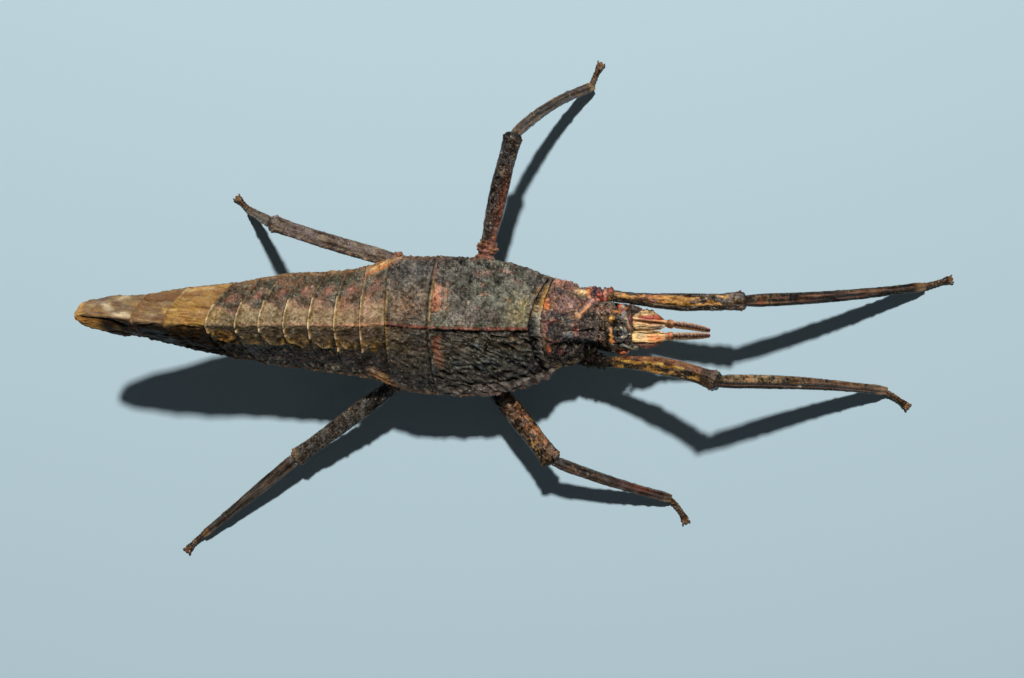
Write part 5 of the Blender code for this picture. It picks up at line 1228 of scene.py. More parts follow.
    def extra(knots, wide, tall, colour, rings=26, around=18, rough=0.05, seed=0, dark=0.7):
        n = next(cell)
        path = curve(knots, rings)
        t = np.linspace(0, 1, rings)
        w = np.interp(t, np.linspace(0, 1, len(wide)), wide)
        h = np.interp(t, np.linspace(0, 1, len(tall)), tall)
        g, _ = tube(path, w, h, around)
        r = rough * (fbm(g, 0.3, 3, 240 + seed) + grains(g, 0.2, 250 + seed)[0])
        g = g + outward(g) * r[..., None]
        r = r / rough - 0.3
        tint = mix(flat_tint(g, colour), UMBER, 0.6 * step(0.1, -0.4, fbm(g, 0.35, 2, 260 + seed)))
        g, tint, r = cap(g, tint, r, w[0] * 0.4, 0, dark)
        g, tint, r = cap(g, tint, r, w[-1] * 0.4, 1, 1.0)
        u0, v0 = 0.004 + 0.124 * (n % 8), 0.006 + 0.066 * (n // 8)
        head.add(g, tint, r, (u0, v0, u0 + 0.118, v0 + 0.058))

    # collars that the feelers stand in
    extra(((16.8, 2.75, 12.0), (17.4, 2.72, 12.35), (17.95, 2.66, 12.45)), (1.7, 1.7, 1.3), (1.7, 1.4, 1.1), srgb(112, 68, 62), seed=1, rough=0.10)
    extra(((16.8, 0.20, 11.9), (17.4, 0.24, 12.2), (17.95, 0.28, 12.30)), (1.5, 1.5, 1.2), (1.7, 1.4, 1.1), srgb(84, 66, 60), seed=2, rough=0.10)
    # the hooked ridge in front of the right eye and its pale knob
    extra(((16.15, -0.80, 13.35), (16.75, -1.02, 13.6), (17.5, -1.32, 13.55), (18.1, -1.55, 13.3), (18.75, -1.52, 12.9)), (0.50, 0.40, 0.26, 0.24, 0.30), (0.5, 0.42, 0.28, 0.26, 0.30), srgb(134, 132, 124), seed=3, rough=0.03)
    extra(((18.12, -1.32, 13.2), (18.40, -1.27, 13.35), (18.68, -1.22, 13.2)), (0.34, 0.50, 0.36), (0.34, 0.50, 0.36), srgb(196, 192, 150), rings=12, seed=4, rough=0.03)
    extra(((18.0, -0.95, 12.9), (18.5, -0.92, 13.0), (18.98, -1.25, 12.8)), (0.26, 0.28, 0.26), (0.28, 0.30, 0.28), srgb(70, 68, 70), rings=14, seed=9, rough=0.03)
    # ruffles in front of the left eye
    extra(((17.5, 4.40, 12.7), (18.0, 4.50, 12.85), (18.7, 4.35, 12.8), (19.2, 4.15, 12.5)), (0.7, 0.95, 0.80, 0.4), (0.7, 0.8, 0.7, 0.4), srgb(84, 72, 62), seed=5, rough=0.14)
    extra(((17.45, 4.98, 12.55), (17.9, 4.95, 12.8), (18.6, 4.72, 12.8), (19.4, 4.5, 12.4)), (0.30, 0.34, 0.34, 0.2), (0.3, 0.36, 0.34, 0.2), srgb(140, 92, 74), seed=10, rough=0.08)
    # jaw feelers: an upper and a lower pair, hanging under the mouth
    for side, n in ((1, 0), (-1, 3)):
        y = 1.45 + side * 1.35
        extra(((19.2, y, 8.9), (20.0, y + side * 0.25, 8.15), (20.7, y + side * 0.2, 7.85), (21.35, y + side * 0.05, 8.0)), (0.62, 0.55, 0.60, 0.50), (0.55, 0.5, 0.5, 0.42), HAZEL, seed=6 + n, rough=0.03)
        y = 1.45 + side * 0.6
        extra(((18.6, y, 8.6), (19.3, y + side * 0.15, 7.95), (20.0, y + side * 0.1, 7.85)), (0.52, 0.48, 0.42), (0.45, 0.42, 0.36), HAZEL, seed=7 + n, rough=0.03)
        # the jaws, meeting below the upper lip
        extra(((19.9, 1.45 + side * 0.95, 9.7), (20.6, 1.45 + side * 0.75, 9.45), (20.95, 1.45 + side * 0.22, 9.25)), (0.95, 0.8, 0.4), (1.1, 0.9, 0.55), UMBER * 0.8, seed=8 + n, rough=0.04)
    head.make("head_shell", mat, "head", "head")


def make_eyes():
    mat = bpy.data.materials.new("eye_gloss")
    mat.use_nodes = True
    nodes, links = mat.node_tree.nodes, mat.node_tree.links
    shader = nodes["Principled BSDF"]
    shader.inputs["Coat Weight"].default_value = 0.9
    shader.inputs["Coat Roughness"].default_value = 0.06
    place = nodes.new("ShaderNodeTexCoord")
    tint = nodes.new("ShaderNodeAttribute")
    tint.attribute_name = "tint"
    fleck = nodes.new("ShaderNodeTexNoise")
    fleck.inputs["Scale"].default_value = 2600
    fleck.inputs["Detail"].default_value = 4
    facet = nodes.new("ShaderNodeTexVoronoi")
    facet.inputs["Scale"].default_value = 11000
    for node in (fleck, facet):
        links.new(place.outputs["Object"], node.inputs["Vector"])
    spread = nodes.new("ShaderNodeMapRange")
    spread.inputs["From Min"].default_value, spread.inputs["From Max"].default_value = 0.3, 0.7
    spread.inputs["To Min"].default_value, spread.inputs["To Max"].default_value = 0.55, 1.4
    links.new(fleck.outputs["Fac"], spread.inputs["Value"])
    shade = nodes.new("ShaderNodeVectorMath")
    shade.operation = "SCALE"
    links.new(tint.outputs["Color"], shade.inputs[0])
    links.new(spread.outputs["Result"], shade.inputs["Scale"])
    links.new(shade.outputs[0], shader.inputs["Base Color"])
    dull = nodes.new("ShaderNodeMapRange")
    dull.inputs["To Min"].default_value, dull.inputs["To Max"].default_value = 0.12, 0.34
    links.new(fleck.outputs["Fac"], dull.inputs["Value"])
    links.new(dull.outputs["Result"], shader.inputs["Roughness"])
    lift = nodes.new("ShaderNodeBump")
    lift.inputs["Strength"].default_value = 0.25
    lift.inputs["Distance"].default_value = 0.00003
    links.new(facet.outputs["Distance"], lift.inputs["Height"])
    links.new(lift.outputs["Normal"], shader.inputs["Normal"])
    for name, cx, cy, cz, side in EYES:
        t = np.linspace(0.02, 0.98, 70) * np.pi
        theta = 2 * np.pi * (np.arange(72) + 0.5) / 72
        x = cx - np.cos(t)[:, None] * EYE_LENGTH / 2 * 1.02 + 0 * theta
        y = cy + np.sin(t)[:, None] * np.cos(theta) * EYE_WIDTH / 2 * 1.04
        z = cz + np.sin(t)[:, None] * np.sin(theta) * EYE_HEIGHT / 2 * 1.02
        p = np.stack([x, y, z], -1)
        relief = 0.012 * fbm(p, 0.5, 2, 301)
        patch = fbm(p, 0.45, 3, 303 + (side < 0))
        streak = fbm(stretched(p, 20, 0.5, 0.18), 1.0, 2, 305)
        dx, dy = p[..., 0] - cx + 0.12 * patch, p[..., 1] - cy + 0.10 * patch
        c = mix(mix(srgb(226, 106, 58), srgb(168, 66, 40), 0.35 + 0.9 * patch), srgb(240, 160, 104), step(0.05, 0.45, streak) * 0.75)
        if side > 0:
            c = dabs(c, warp(p, 0.3, 0.08, 306), (
                # the pale blue-grey patch is a painted highlight
                (cx + 0.10, cy + 0.18, 0.62, 0.30, 14, srgb(148, 166, 160), 0.95),
                (cx + 0.52, cy + 0.32, 0.50, 0.34, -30, srgb(28, 40, 52), 1.0),
                (cx + 0.86, cy + 0.0, 0.26, 0.5, 0, srgb(24, 26, 30), 1.0),
                (cx - 0.08, cy - 0.36, 0.24, 0.20, 0, srgb(206, 172, 150), 0.8),
                (cx + 0.42, cy - 0.22, 0.40, 0.20, 24, srgb(236, 146, 76), 1.0),
                (cx + 0.10, cy - 0.60, 0.62, 0.16, 10, srgb(44, 26, 22), 0.9),
                (cx - 0.95, cy + 0.1, 0.22, 0.6, 0, srgb(54, 28, 22), 0.9),
            ))
        else:
            c = dabs(c, warp(p, 0.3, 0.06, 307), (
                (cx - 0.02, cy + 0.24, 0.34, 0.26, 0, srgb(22, 18, 18), 1.0),
                (cx - 0.62, cy - 0.05, 0.22, 0.4, 0, srgb(140, 44, 30), 0.8),
                (cx + 0.45, cy - 0.10, 0.45, 0.22, 20, srgb(238, 150, 110), 0.9),
                (cx - 0.35, cy - 0.25, 0.30, 0.2, -20, srgb(242, 138, 84), 0.9),
                (cx + 0.0, cy + 0.55, 1.0, 0.16, 0, srgb(22, 18, 18), 1.0),
            ))
        c = mix(c, PITCH, step(cz - 0.1, cz - 0.5, p[..., 2]) * 0.7)
        Piece().add(p + outward(p) * relief[..., None], c, relief).make(name + "_globe", mat, "eye", name)


# ---------------------------------------------------------------- feelers
def make_feelers():
    mat = cuticle("feeler_plate", rough=0.42, swing=0.18, bump=0.55, grain=4200, contrast=0.30, warm=0.2)
    for name, z, side in SCAPES:
        x = np.linspace(17.82, SCAPE_X1, 104)
        t = (x - SCAPE_X0) / (SCAPE_X1 - SCAPE_X0)
        inner, outer = (mono(SCAPE_EDGES[name], k)(x) for k in (1, 2))
        wide, y = np.abs(outer - inner), (inner + outer) / 2
        tall = SCAPE_THICK * (0.75 + 0.25 * np.sin(np.pi * np.clip(t * 1.3, 0, 1)))
        turn = np.linspace(0, 1, 132, endpoint=False)
        theta = 2 * np.pi * turn
        c, s = np.cos(theta), np.sin(theta)
        u = np.sign(c) * np.abs(c) ** 0.9
        v = np.sign(s) * np.abs(s) ** 0.9
        # u runs outward, away from the other feeler
        p = np.stack([
            x[:, None] + 0 * u, y[:, None] + side * u * wide[:, None] / 2, z + v * tall[:, None] / 2], -1)
        normal = outward(p)
        top = step(0.1, 0.45, v)[None] + 0 * p[..., 0]
        a = t[:, None] + 0 * u
        uu = u[None] + 0 * a
        px, py = p[..., 0], p[..., 1]
        wander = warp(p, 0.6, 0.09, 314)
        wx, wy = wander[..., 0], wander[..., 1]
        if side > 0:
            # two lobes with a sunken seam between, and a ribbed red strip along the outer one
            seam = 2.62 - 0.10 * (px - 19.5)
            groove = (bell(wy - seam, 0.11) + 0.55 * bell(wy - 3.12 + 0.05 * (px - 19.5), 0.07) * step(18.6, 19.3, px)) * top
            crest = (bell(py - seam - 0.34, 0.16) + bell(py - seam + 0.42, 0.22)) * top
        else:
            seam = 0.92 - 0.02 * (px - 19.5)
            groove = (bell(wy - seam, 0.06) * step(18.4, 19.2, px) + 0.8 * bell(wy + 0.62, 0.09)) * top
            crest = (bell(py - 0.55, 0.25) + bell(py + 0.15, 0.3)) * top
        grainy = 0.055 * grains(p, 0.28, 311)[0] + 0.05 * fbm(p, 0.6, 3, 313)
        rib = ridges(stretched(p, 0, 1.6, 0.30), 1.0, 2, 315) * top
        relief = grainy - 0.20 * groove + 0.11 * crest + 0.09 * rib
        teeth = bell(uu - 1.0, 0.14) * np.clip(np.sin((px * 1.15 + 0.35 * noise(p / 0.9, 316)) * 2 * np.pi), 0, 1) ** 1.3 * step(18.7, 19.1, px) * step(21.8, 21.0, px)
        relief += (0.20 if side > 0 else 0.05) * teeth
        patch, speck = fbm(p, 0.9, 3, 317 + side), fbm(p, 0.26, 3, 319)
        if side > 0:
            col = mix(CREAM * 0.95, mix(SAND, PEACH, 0.5 + speck) * 0.92, 0.45 + 0.9 * patch)
            red = step(2.78, 2.95, wy) * step(3.62, 3.35, wy - 0.06 * (px - 19.5)) * step(18.4, 19.0, wx)
            col = mix(col, mix(srgb(206, 100, 72), srgb(150, 60, 46), 0.5 + patch), red * (0.60 + 0.5 * step(-0.3, 0.3, rib)))
            col = dabs(col, wander, (
                (18.45, 2.98, 0.75, 0.16, 0, mix(CREAM, ROSE, 0.3), 0.9), (18.2, 3.3, 0.4, 0.16, 20, mix(PEACH, RUST, 0.4), 0.7),
                (20.1, 2.50, 1.5, 0.15, -4, srgb(206, 112, 48), 0.95), (20.7, 2.30, 0.9, 0.10, -4, srgb(96, 36, 28), 0.85), (18.3, 2.5, 0.5, 0.14, 10, srgb(196, 110, 50), 0.85),
                (21.6, 3.1, 0.9, 0.35, -20, srgb(176, 82, 48), 0.85), (21.9, 2.5, 1.0, 0.28, -10, srgb(188, 104, 54), 0.8),
                (21.9, 1.85, 0.85, 0.26, 8, srgb(60, 60, 72), 0.95), (21.2, 1.72, 0.3, 0.18, 0, srgb(120, 122, 132), 0.8), (19.6, 3.95, 1.1, 0.14, -8, mix(HAZEL, CREAM, 0.4), 0.6),
                (18.95, 3.82, 0.2, 0.16, 0, IVORY, 0.9), (19.3, 1.62, 1.0, 0.10, 0, IVORY * 0.95, 0.6),
            ), top)
            col = mix(col, srgb(62, 30, 24), np.clip(groove, 0, 1) * 0.85 * step(18.7, 20.0, px))
            col = mix(col, PITCH, 0.92 * step(0.84, 0.95, uu) * step(18.4, 18.9, px))
        else:
            col = mix(CREAM * 0.95, mix(YELLOW, SAND, 0.5 + speck) * 0.95, 0.40 + 0.9 * patch)
            col = dabs(col, wander, (
                (20.7, 0.05, 1.0, 0.75, 0, srgb(222, 140, 72), 0.85), (21.8, 0.1, 0.9, 0.6, 0, srgb(206, 120, 60), 0.9), (18.3, 0.15, 0.35, 0.5, 0, mix(GOLD, CREAM, 0.5), 0.7),
                (20.6, 0.72, 1.2, 0.10, -2, mix(GOLD, HAZEL, 0.4), 0.6), (19.2, 0.75, 0.8, 0.12, 4, IVORY * 0.95, 0.6), (19.6, -0.42, 1.6, 0.12, 0, mix(CREAM, ROSE, 0.3), 0.75),
            ), top)
            col = mix(col, srgb(46, 42, 46), bell(wy - seam, 0.07) * top * step(18.8, 19.4, px) * 0.92)
            # painted shade: the lower outer facet is dark red-brown
            col = mix(col, mix(srgb(112, 52, 32), srgb(66, 36, 28), 0.5 + patch), step(-0.52, -0.66, wy) * 0.95)
            col = mix(col, PITCH, 0.8 * bell(wy + 0.62, 0.07) * top + 0.6 * step(0.9, 0.98, uu))
        wash = fbm(stretched(wander, 0, 0.9, 0.22), 1.0, 3, 321)
        col = mix(col, HAZEL * 0.95, 0.55 * step(0.10, 0.55, wash) * top)
        col = mix(col, mix(HAZEL, RUST, 0.3) * 0.8, 0.40 * step(0.72, 0.95, np.abs(uu)) * top)
        col = mix(col, UMBER, 0.55 * step(0.15, 0.5, speck) * (1 - top) + 0.35 * step(0.25, 0.6, speck))
        col = mix(col, HAZEL, 0.7 * step(0.0, -0.4, v)[None] + 0 * a)
        col = mix(col, HAZEL * 0.7, step(18.05, 17.85, px) * 0.75)
        g = p + normal * relief[..., None]
        relief = (relief - relief.mean()) / 0.12
        g, col, relief = cap(g, col, relief, 0.35, 0, 0.4)
        g, col, relief = cap(g, col, relief, 0.22, 1, 0.8)
        Piece().add(g, col, relief).make(name + "_plate", mat, "scape", name)

    mat = cuticle("feeler_thread", rough=0.42, swing=0.15, bump=0.5, grain=5200, contrast=0.30, warm=0.15)
    girth = ((0.0, 0.80), (0.06, 1.05), (0.13, 1.0), (0.17, 0.62), (0.24, 0.85), (0.6, 0.82), (0.85, 0.70), (1.0, 0.52))
    for name, y0, y1, z in ANTENNAE:
        t = np.linspace(-0.05, 1.0, 190)
        x = ANTENNA_X0 + (ANTENNA_X1 - ANTENNA_X0) * t
        bend = 0.10 * np.sin(np.pi * np.clip((t - 0.15) / 0.85, 0, 1))
        path = np.stack([x, y0 + (y1 - y0) * t + (bend if "left" in name else -bend * 0.4), z + 0 * t], -1)
        size = mono(girth, 1)(np.clip(t, 0, 1))
        joints = np.array((0.17, 0.285, 0.37, 0.45, 0.53, 0.61, 0.685, 0.76, 0.83, 0.90))
        pinch = np.exp(-(((t[:, None] - joints) / 0.011) ** 2)).sum(axis=1)
        flare = np.exp(-(((t[:, None] - joints + 0.03) / 0.022) ** 2)).sum(axis=1)
        size = size * (1.27 - 0.15 * pinch + 0.05 * flare)
        g, theta = tube(path, size, size, 40)
        relief = 0.025 * fbm(g, 0.3, 3, 331) + 0.035 * grains(g, 0.22, 333)[0] + 0.03 * np.cos(theta * 3)
        patch, speck = fbm(g, 0.6, 3, 335), fbm(g, 0.2, 2, 337)
        edge = step(0.34, 0.72, np.abs(np.cos(theta)))
        tt = t[:, None] + 0 * theta
        col = mix(srgb(70, 40, 36), srgb(48, 32, 32), 0.5 + patch)
        col = mix(col, mix(mix(PEACH, CREAM, 0.45), mix(PEACH, ROSE, 0.6), 0.10 + 0.7 * tt), np.clip(edge * (0.88 + 0.4 * speck), 0, 1))
        band = np.exp(-(((t[:, None] - joints + 0.012) / 0.016) ** 2)).sum(axis=1)[:, None] + 0 * theta
        col = mix(col, mix(PEACH, CREAM, 0.3), 0.42 * band * step(-0.3, 0.3, speck))
        col = mix(col, mix(RUST, PEACH, 0.5 + patch), step(0.165, 0.14, tt) * 0.85)
        col = mix(col, srgb(52, 36, 32), step(0.165, 0.14, tt) * step(-0.1, 0.4, patch) * 0.7)
        col = mix(col, UMBER * 0.7, 0.75 * (pinch[:, None] > 0.4))
        g = g + outward(g) * relief[..., None]
        relief = (relief - relief.mean()) / 0.06
        g, col, relief = cap(g, col, relief, 0.2, 0, 0.6)
        g, col, relief = cap(g, col, relief, 0.24, 1, 0.95)
        Piece().add(g, col, relief).make(name + "_thread", mat, "antenna", name)


# ------------------------------------------------------------------- legs
def limb_grid(start, bow, end, shape, t, around, square=0.85, spread=None):
    """Rings along a shallow arc; t may run a little past either end."""
    start, bow, end = (np.array(v, float) for v in (start, bow, end))
    tt = t[:, None]
    path = start + (end - start) * tt + bow * (4 * tt * (1 - tt))
    tangent = (end - start) + bow * (4 * (1 - 2 * tt))
    tangent /= np.linalg.norm(tangent, axis=1, keepdims=True)
    across = np.cross(tangent, (0.0, 0.0, 1.0))
    across /= np.linalg.norm(across, axis=1, keepdims=True)
    upward = np.cross(across, tangent)
    wide, tall = mono(shape, 1)(t), mono(shape, 2)(t)
    theta = 2 * np.pi * (np.arange(around) + 0.5) / around
    c, s = np.cos(theta), np.sin(theta)
    u, v = np.sign(c) * np.abs(c) ** square, np.sign(s) * np.abs(s) ** square
    p = path[:, None] + across[:, None] * (u[None] * wide[:, None] / 2)[..., None] + upward[:, None] * (v[None] * tall[:, None] / 2)[..., None]
    a = tt + 0 * theta
    th = theta[None] + 0 * a
    # leg space: along, side and height, for streaks that follow the leg
    length = np.linalg.norm(end - start)
    own = np.stack([a * length, u[None] * wide[:, None] / 2, v[None] * tall[:, None] / 2], -1)
    return p, a, th, own, tangent[:, None] + 0 * p, across[:, None] + 0 * p, upward[:, None] + 0 * p


def around_bell(theta, at, width):
    """at in degrees; 0 is the side that lies to the right of the way out along the leg, 90 the top."""
    d = (theta - math.radians(at) + np.pi) % (2 * np.pi) - np.pi
    return bell(d, math.radians(width))


def make_legs():
    mats = {
        "coxa": cuticle("hip_cuticle", rough=0.36, swing=0.18, bump=0.8, grain=4400, contrast=0.46, warm=0.35, specks=0.6),
        "fore_femur": cuticle("fore_thigh_cuticle", rough=0.36, swing=0.18, bump=0.7, grain=4600, contrast=0.42, warm=0.2, specks=0.5),
        "femur": cuticle("thigh_cuticle", rough=0.40, swing=0.2, bump=0.85, grain=4400, contrast=0.46, specks=0.7),
        "tibia": cuticle("shin_cuticle", rough=0.38, swing=0.18, bump=0.7, grain=4600, contrast=0.44, specks=0.45),
        "tarsus": cuticle("foot_cuticle", rough=0.44, swing=0.18, bump=0.5, grain=5200, contrast=0.40, specks=0.4),
    }
    claw_mat = cuticle("claw_horn", rough=0.28, swing=0.12, bump=0.25, grain=6000, contrast=0.25, coat=0.3)
    for index, (name, root, hip, knee, ankle, toe) in enumerate(LEGS):
        pair = name.split("_")[0]
        left = name.endswith("left")
        seed = 400 + 40 * index
        bows = BOWS[name]

        # hip
        length = math.dist(root, hip)
        t = np.linspace(-0.05, 1.06, max(40, int(length / 0.085)))
        p, a, th, own, *_ = limb_grid(root, (0, 0, 0), hip, COXA_SLIM if pair == "fore" else COXA_SHAPE, t, 120, 0.9)
        fine, who, _ = rough_skin(p, seed + 1, 0.36)
        lump, _ = grains(p, 0.62, seed + 2)
        ringed = np.cos(a * length * 2 * np.pi / 0.80 + 2.2 * noise(p * 0.8, seed + 2))
        seam = bell(a - 0.80, 0.035)
        relief = 0.10 * fine + 0.16 * lump + 0.10 * fbm(p, 0.8, 3, seed + 3) + 0.10 * ringed * step(0.4, 0.6, a) - 0.18 * seam
        patch, speck = fbm(p, 1.0, 3, seed + 5), fbm(p, 0.36, 3, seed + 6)
        col = mix(mix(DUSK * 0.85, BRICK * 0.8, 0.5 + 0.9 * patch), UMBER, step(0.1, -0.4, speck) * 0.7)
        col = mix(col, TAN, 0.5 * step(0.15, 0.6, speck))
        if name == "fore_left":
            knob = np.exp(-(((p[..., 0] - 14.85) / 0.40) ** 4)) * around_bell(th, 155, 40)
            relief += 0.36 * knob - 0.6 * knob * np.clip(relief, 0, 1)
            col = mix(col, srgb(150, 88, 84), 0.55 * step(-0.2, 0.4, patch))
            col = dabs(col, warp(p, 0.5, 0.10, 411), (
                (10.4, 7.0, 0.55, 0.6, 0, CREAM, 0.85), (11.45, 7.1, 0.30, 0.60, -35, mix(FLAME, PEACH, 0.4), 0.85), (11.3, 6.1, 0.5, 0.3, 30, PEACH, 0.7),
                (12.35, 6.9, 0.34, 0.75, -12, srgb(44, 46, 62), 0.85), (13.3, 7.75, 0.8, 0.35, 0, srgb(104, 86, 96), 0.8), (13.3, 6.7, 0.7, 0.30, 20, srgb(186, 96, 84), 0.85),
                (12.7, 6.0, 0.40, 0.30, 0, srgb(206, 140, 112), 0.8), (13.6, 5.95, 0.6, 0.30, 0, srgb(196, 92, 76), 0.85), (13.05, 6.25, 0.2, 0.3, 0, PITCH, 0.8), (13.95, 6.9, 0.16, 0.6, 4, srgb(180, 124, 98), 0.8),
                (14.25, 6.3, 0.22, 0.9, 0, PITCH, 0.9), (14.85, 6.2, 0.60, 0.95, 0, mix(UMBER, GOLD, 0.30), 1.0),
            ), step(-0.2, 0.3, np.sin(th)))
            col = mix(col, mix(srgb(122, 44, 32), srgb(166, 78, 54), 0.5 + patch), 0.95 * np.clip(knob * 1.4, 0, 1))
        elif pair == "fore":
            # painted shade: the right fore hip is near-black and its pit value lowered, as it lies in shadow under the
            # body
            col = mix(col, PITCH * 0.8, 0.92 + 0 * a)
            fine = 0.5 * fine - 0.5
        else:
            col = mix(col, mix(BRICK, TAN, 0.5 + patch), 0.55 * step(0.55, 0.7, a))
            col = mix(col, UMBER * 0.5, 0.6 * (not left) + 0 * a)
        if name == "fore_left":
            col = mix(col * 1.26, PITCH, 0.60 * step(-0.02, -0.36, speck + 0.3 * fine))
        col = mix(col, PITCH, 0.6 * seam)
        g = p + outward(p) * relief[..., None]
        g, col, fine = cap(g, col, fine, 0.2, 0, 0.6)
        g, col, fine = cap(g, col, fine, 0.35, 1, 0.7)
        Piece().add(g, col, fine).make("coxa_" + name + "_hip", mats["coxa"], "coxa", "coxa_" + name)

        # thigh
        length = math.dist(hip, knee)
        t = np.linspace(-0.035, 1.0, int(length / 0.095))
        thigh = tuple((at, wide * STOUT[name], tall * STOUT[name]) for at, wide, tall in FEMURS[pair])
        p, a, th, own, along, across, upward = limb_grid(hip, bows[0], knee, thigh, t, 116, 0.80)
        fine, who, _ = rough_skin(p, seed + 12, 0.34)
        corner = sum(around_bell(th, at, 13) for at in (40, 140, 220, 320))
        rib = ridges(own * np.array((0.22, 1.0, 1.0)), 0.42, 2, seed + 11)
        relief = 0.050 * fine + 0.09 * corner + 0.04 * fbm(p, 0.9, 3, seed + 13) + 0.07 * rib - 0.04
        if pair == "fore" or name == "hind_left":
            fine = np.clip(0.45 * fine + 0.65 * rib, -1.2, 1.0)
        serrate = corner * np.clip(noise(own * np.array((1.4, 0.2, 0.2)) + 3, seed + 15), 0, 1)
        relief += 0.20 * serrate + 0.06 * around_bell(th, 90, 10)
        lobes = np.abs(np.cos(th)) ** 1.5
        flare = bell(a - 0.972, 0.016)
        relief += flare * (0.01 + 0.05 * lobes) - 0.05 * bell(a - 0.935, 0.012)
        spines = 0.0
        for at, place_a, tall in ((25, 0.982, 0.30), (155, 0.982, 0.30), (335, 0.978, 0.22), (205, 0.978, 0.22)):
            spines = spines + tall * np.exp(-(((a - place_a) * length / 0.17) ** 2)) * around_bell(th, at, 11)
        relief += spines
        patch, speck, streak = fbm(p, 1.4, 3, seed + 16), fbm(p, 0.40, 3, seed + 17), fbm(own * np.array((0.35, 1, 1)), 0.55, 3, seed + 18)
        top = step(0.0, 0.5, np.sin(th))
        if pair == "fore":
            col = mix(mix(srgb(196, 140, 54), srgb(204, 150, 78), 0.4 + 0.8 * patch), srgb(214, 176, 96), step(0.2, 0.6, speck) * 0.7)
            col = mix(col, PITCH * 1.1, 0.96 * step(0.06, 0.24, streak + 0.45 * speck))
            col = mix(col, HAZEL * 0.8, 0.45 * step(0.0, 0.5, -patch))
            if left:
                col = mix(col, mix(RUST, OXIDE, 0.5 + patch) * 0.9, 0.85 * np.exp(-(((a - 0.30) / 0.13) ** 2)) * around_bell(th, 120, 50) * step(-0.3, 0.2, speck))
                # edge: the side away from the light is blackened as painted shade; the black line on the far side is
                # the thigh's own colour
                lower = np.interp(a, (0.0, 0.08, 0.22, 0.32, 0.6, 0.85, 1.0), (62, 84, 86, 70, 70, 74, 82))
                edge = 0.97 * step(4, -8, np.degrees(th) - lower + 16 * streak) * step(0.0, 0.04, a) + 0.92 * step(math.radians(118), math.radians(132), th + 0.2 * streak)
                col = mix(col, PITCH, edge)
                col = mix(col, KHAKI * 0.95, 0.80 * around_bell(th, 62, 5) * step(0.28, 0.36, a) * step(0.8, 0.7, a) * step(-0.3, 0.2, streak))
                col = mix(col, PITCH, 0.6 * around_bell(th, 78, 20) * step(0.36, 0.28, a) * step(0.02, 0.08, a) * step(-0.2, 0.3, streak))
            else:
                # its inner face is plain tan-brown, with a black line below the ridge
                inner = step(math.radians(92), math.radians(104), th) * step(math.radians(230), math.radians(190), th)
                col = mix(col, mix(srgb(112, 66, 40), srgb(146, 100, 66), 0.4 + patch), 0.92 * inner * step(0.10, 0.20, a))
                col = mix(col, UMBER * 0.8, 0.6 * inner * step(0.05, 0.45, streak))
                dashes = around_bell(th, 99, 7) * step(-0.2, 0.25, noise(own * np.array((0.9, 0.1, 0.1)), seed + 19))
                col = mix(col, YELLOW * 0.95, 0.9 * dashes * step(0.12, 0.2, a) * step(0.9, 0.8, a))
                col = mix(col, PITCH, 0.9 * around_bell(th, 80, 12) * step(0.08, 0.25, a) * step(-0.6, 0.1, streak))
                col = mix(col, PITCH, 0.85 * around_bell(th, 12, 42))
                # painted shade: the thigh's base is darkened to black where it lies in shadow under the body
                col = mix(col, PITCH * 0.8, 0.95 * step(0.20, 0.08, a))
                col = mix(col, PITCH, 0.6 * step(0.28, 0.18, a) * step(0.3, -0.2, speck))
            col = mix(col, mix(UMBER * 0.35, BARK * 0.5, 0.4 + patch), 0.88 * step(0.84, 0.92, a))
        elif name == "mid_right":
            # rusty along its front face, dark and gold-grained behind
            col = mix(mix(HAZEL, TAN, 0.35 + 0.8 * patch), UMBER, 0.60 * step(-0.05, 0.3, streak))
            col = mix(col, RUST * 0.85, 0.55 * around_bell(th, 140, 40) * step(-0.3, 0.3, speck))
            grainy = step(math.radians(98), math.radians(70), th) + step(math.radians(290), math.radians(320), th)
            col = mix(col, mix(UMBER * 0.6, BARK * 0.8, 0.5 + patch), 0.88 * np.clip(grainy, 0, 1))
            col = mix(col, GOLD * 0.95, 0.75 * np.clip(grainy, 0, 1) * step(0.12, 0.4, fbm(p, 0.34, 2, seed + 19)))
            col = mix(col, PITCH, 0.85 * step(0.02, -0.26, fbm(p, 0.5, 3, seed + 20)))
            col = mix(col, UMBER * 0.6, 0.6 * step(0.78, 0.95, a))
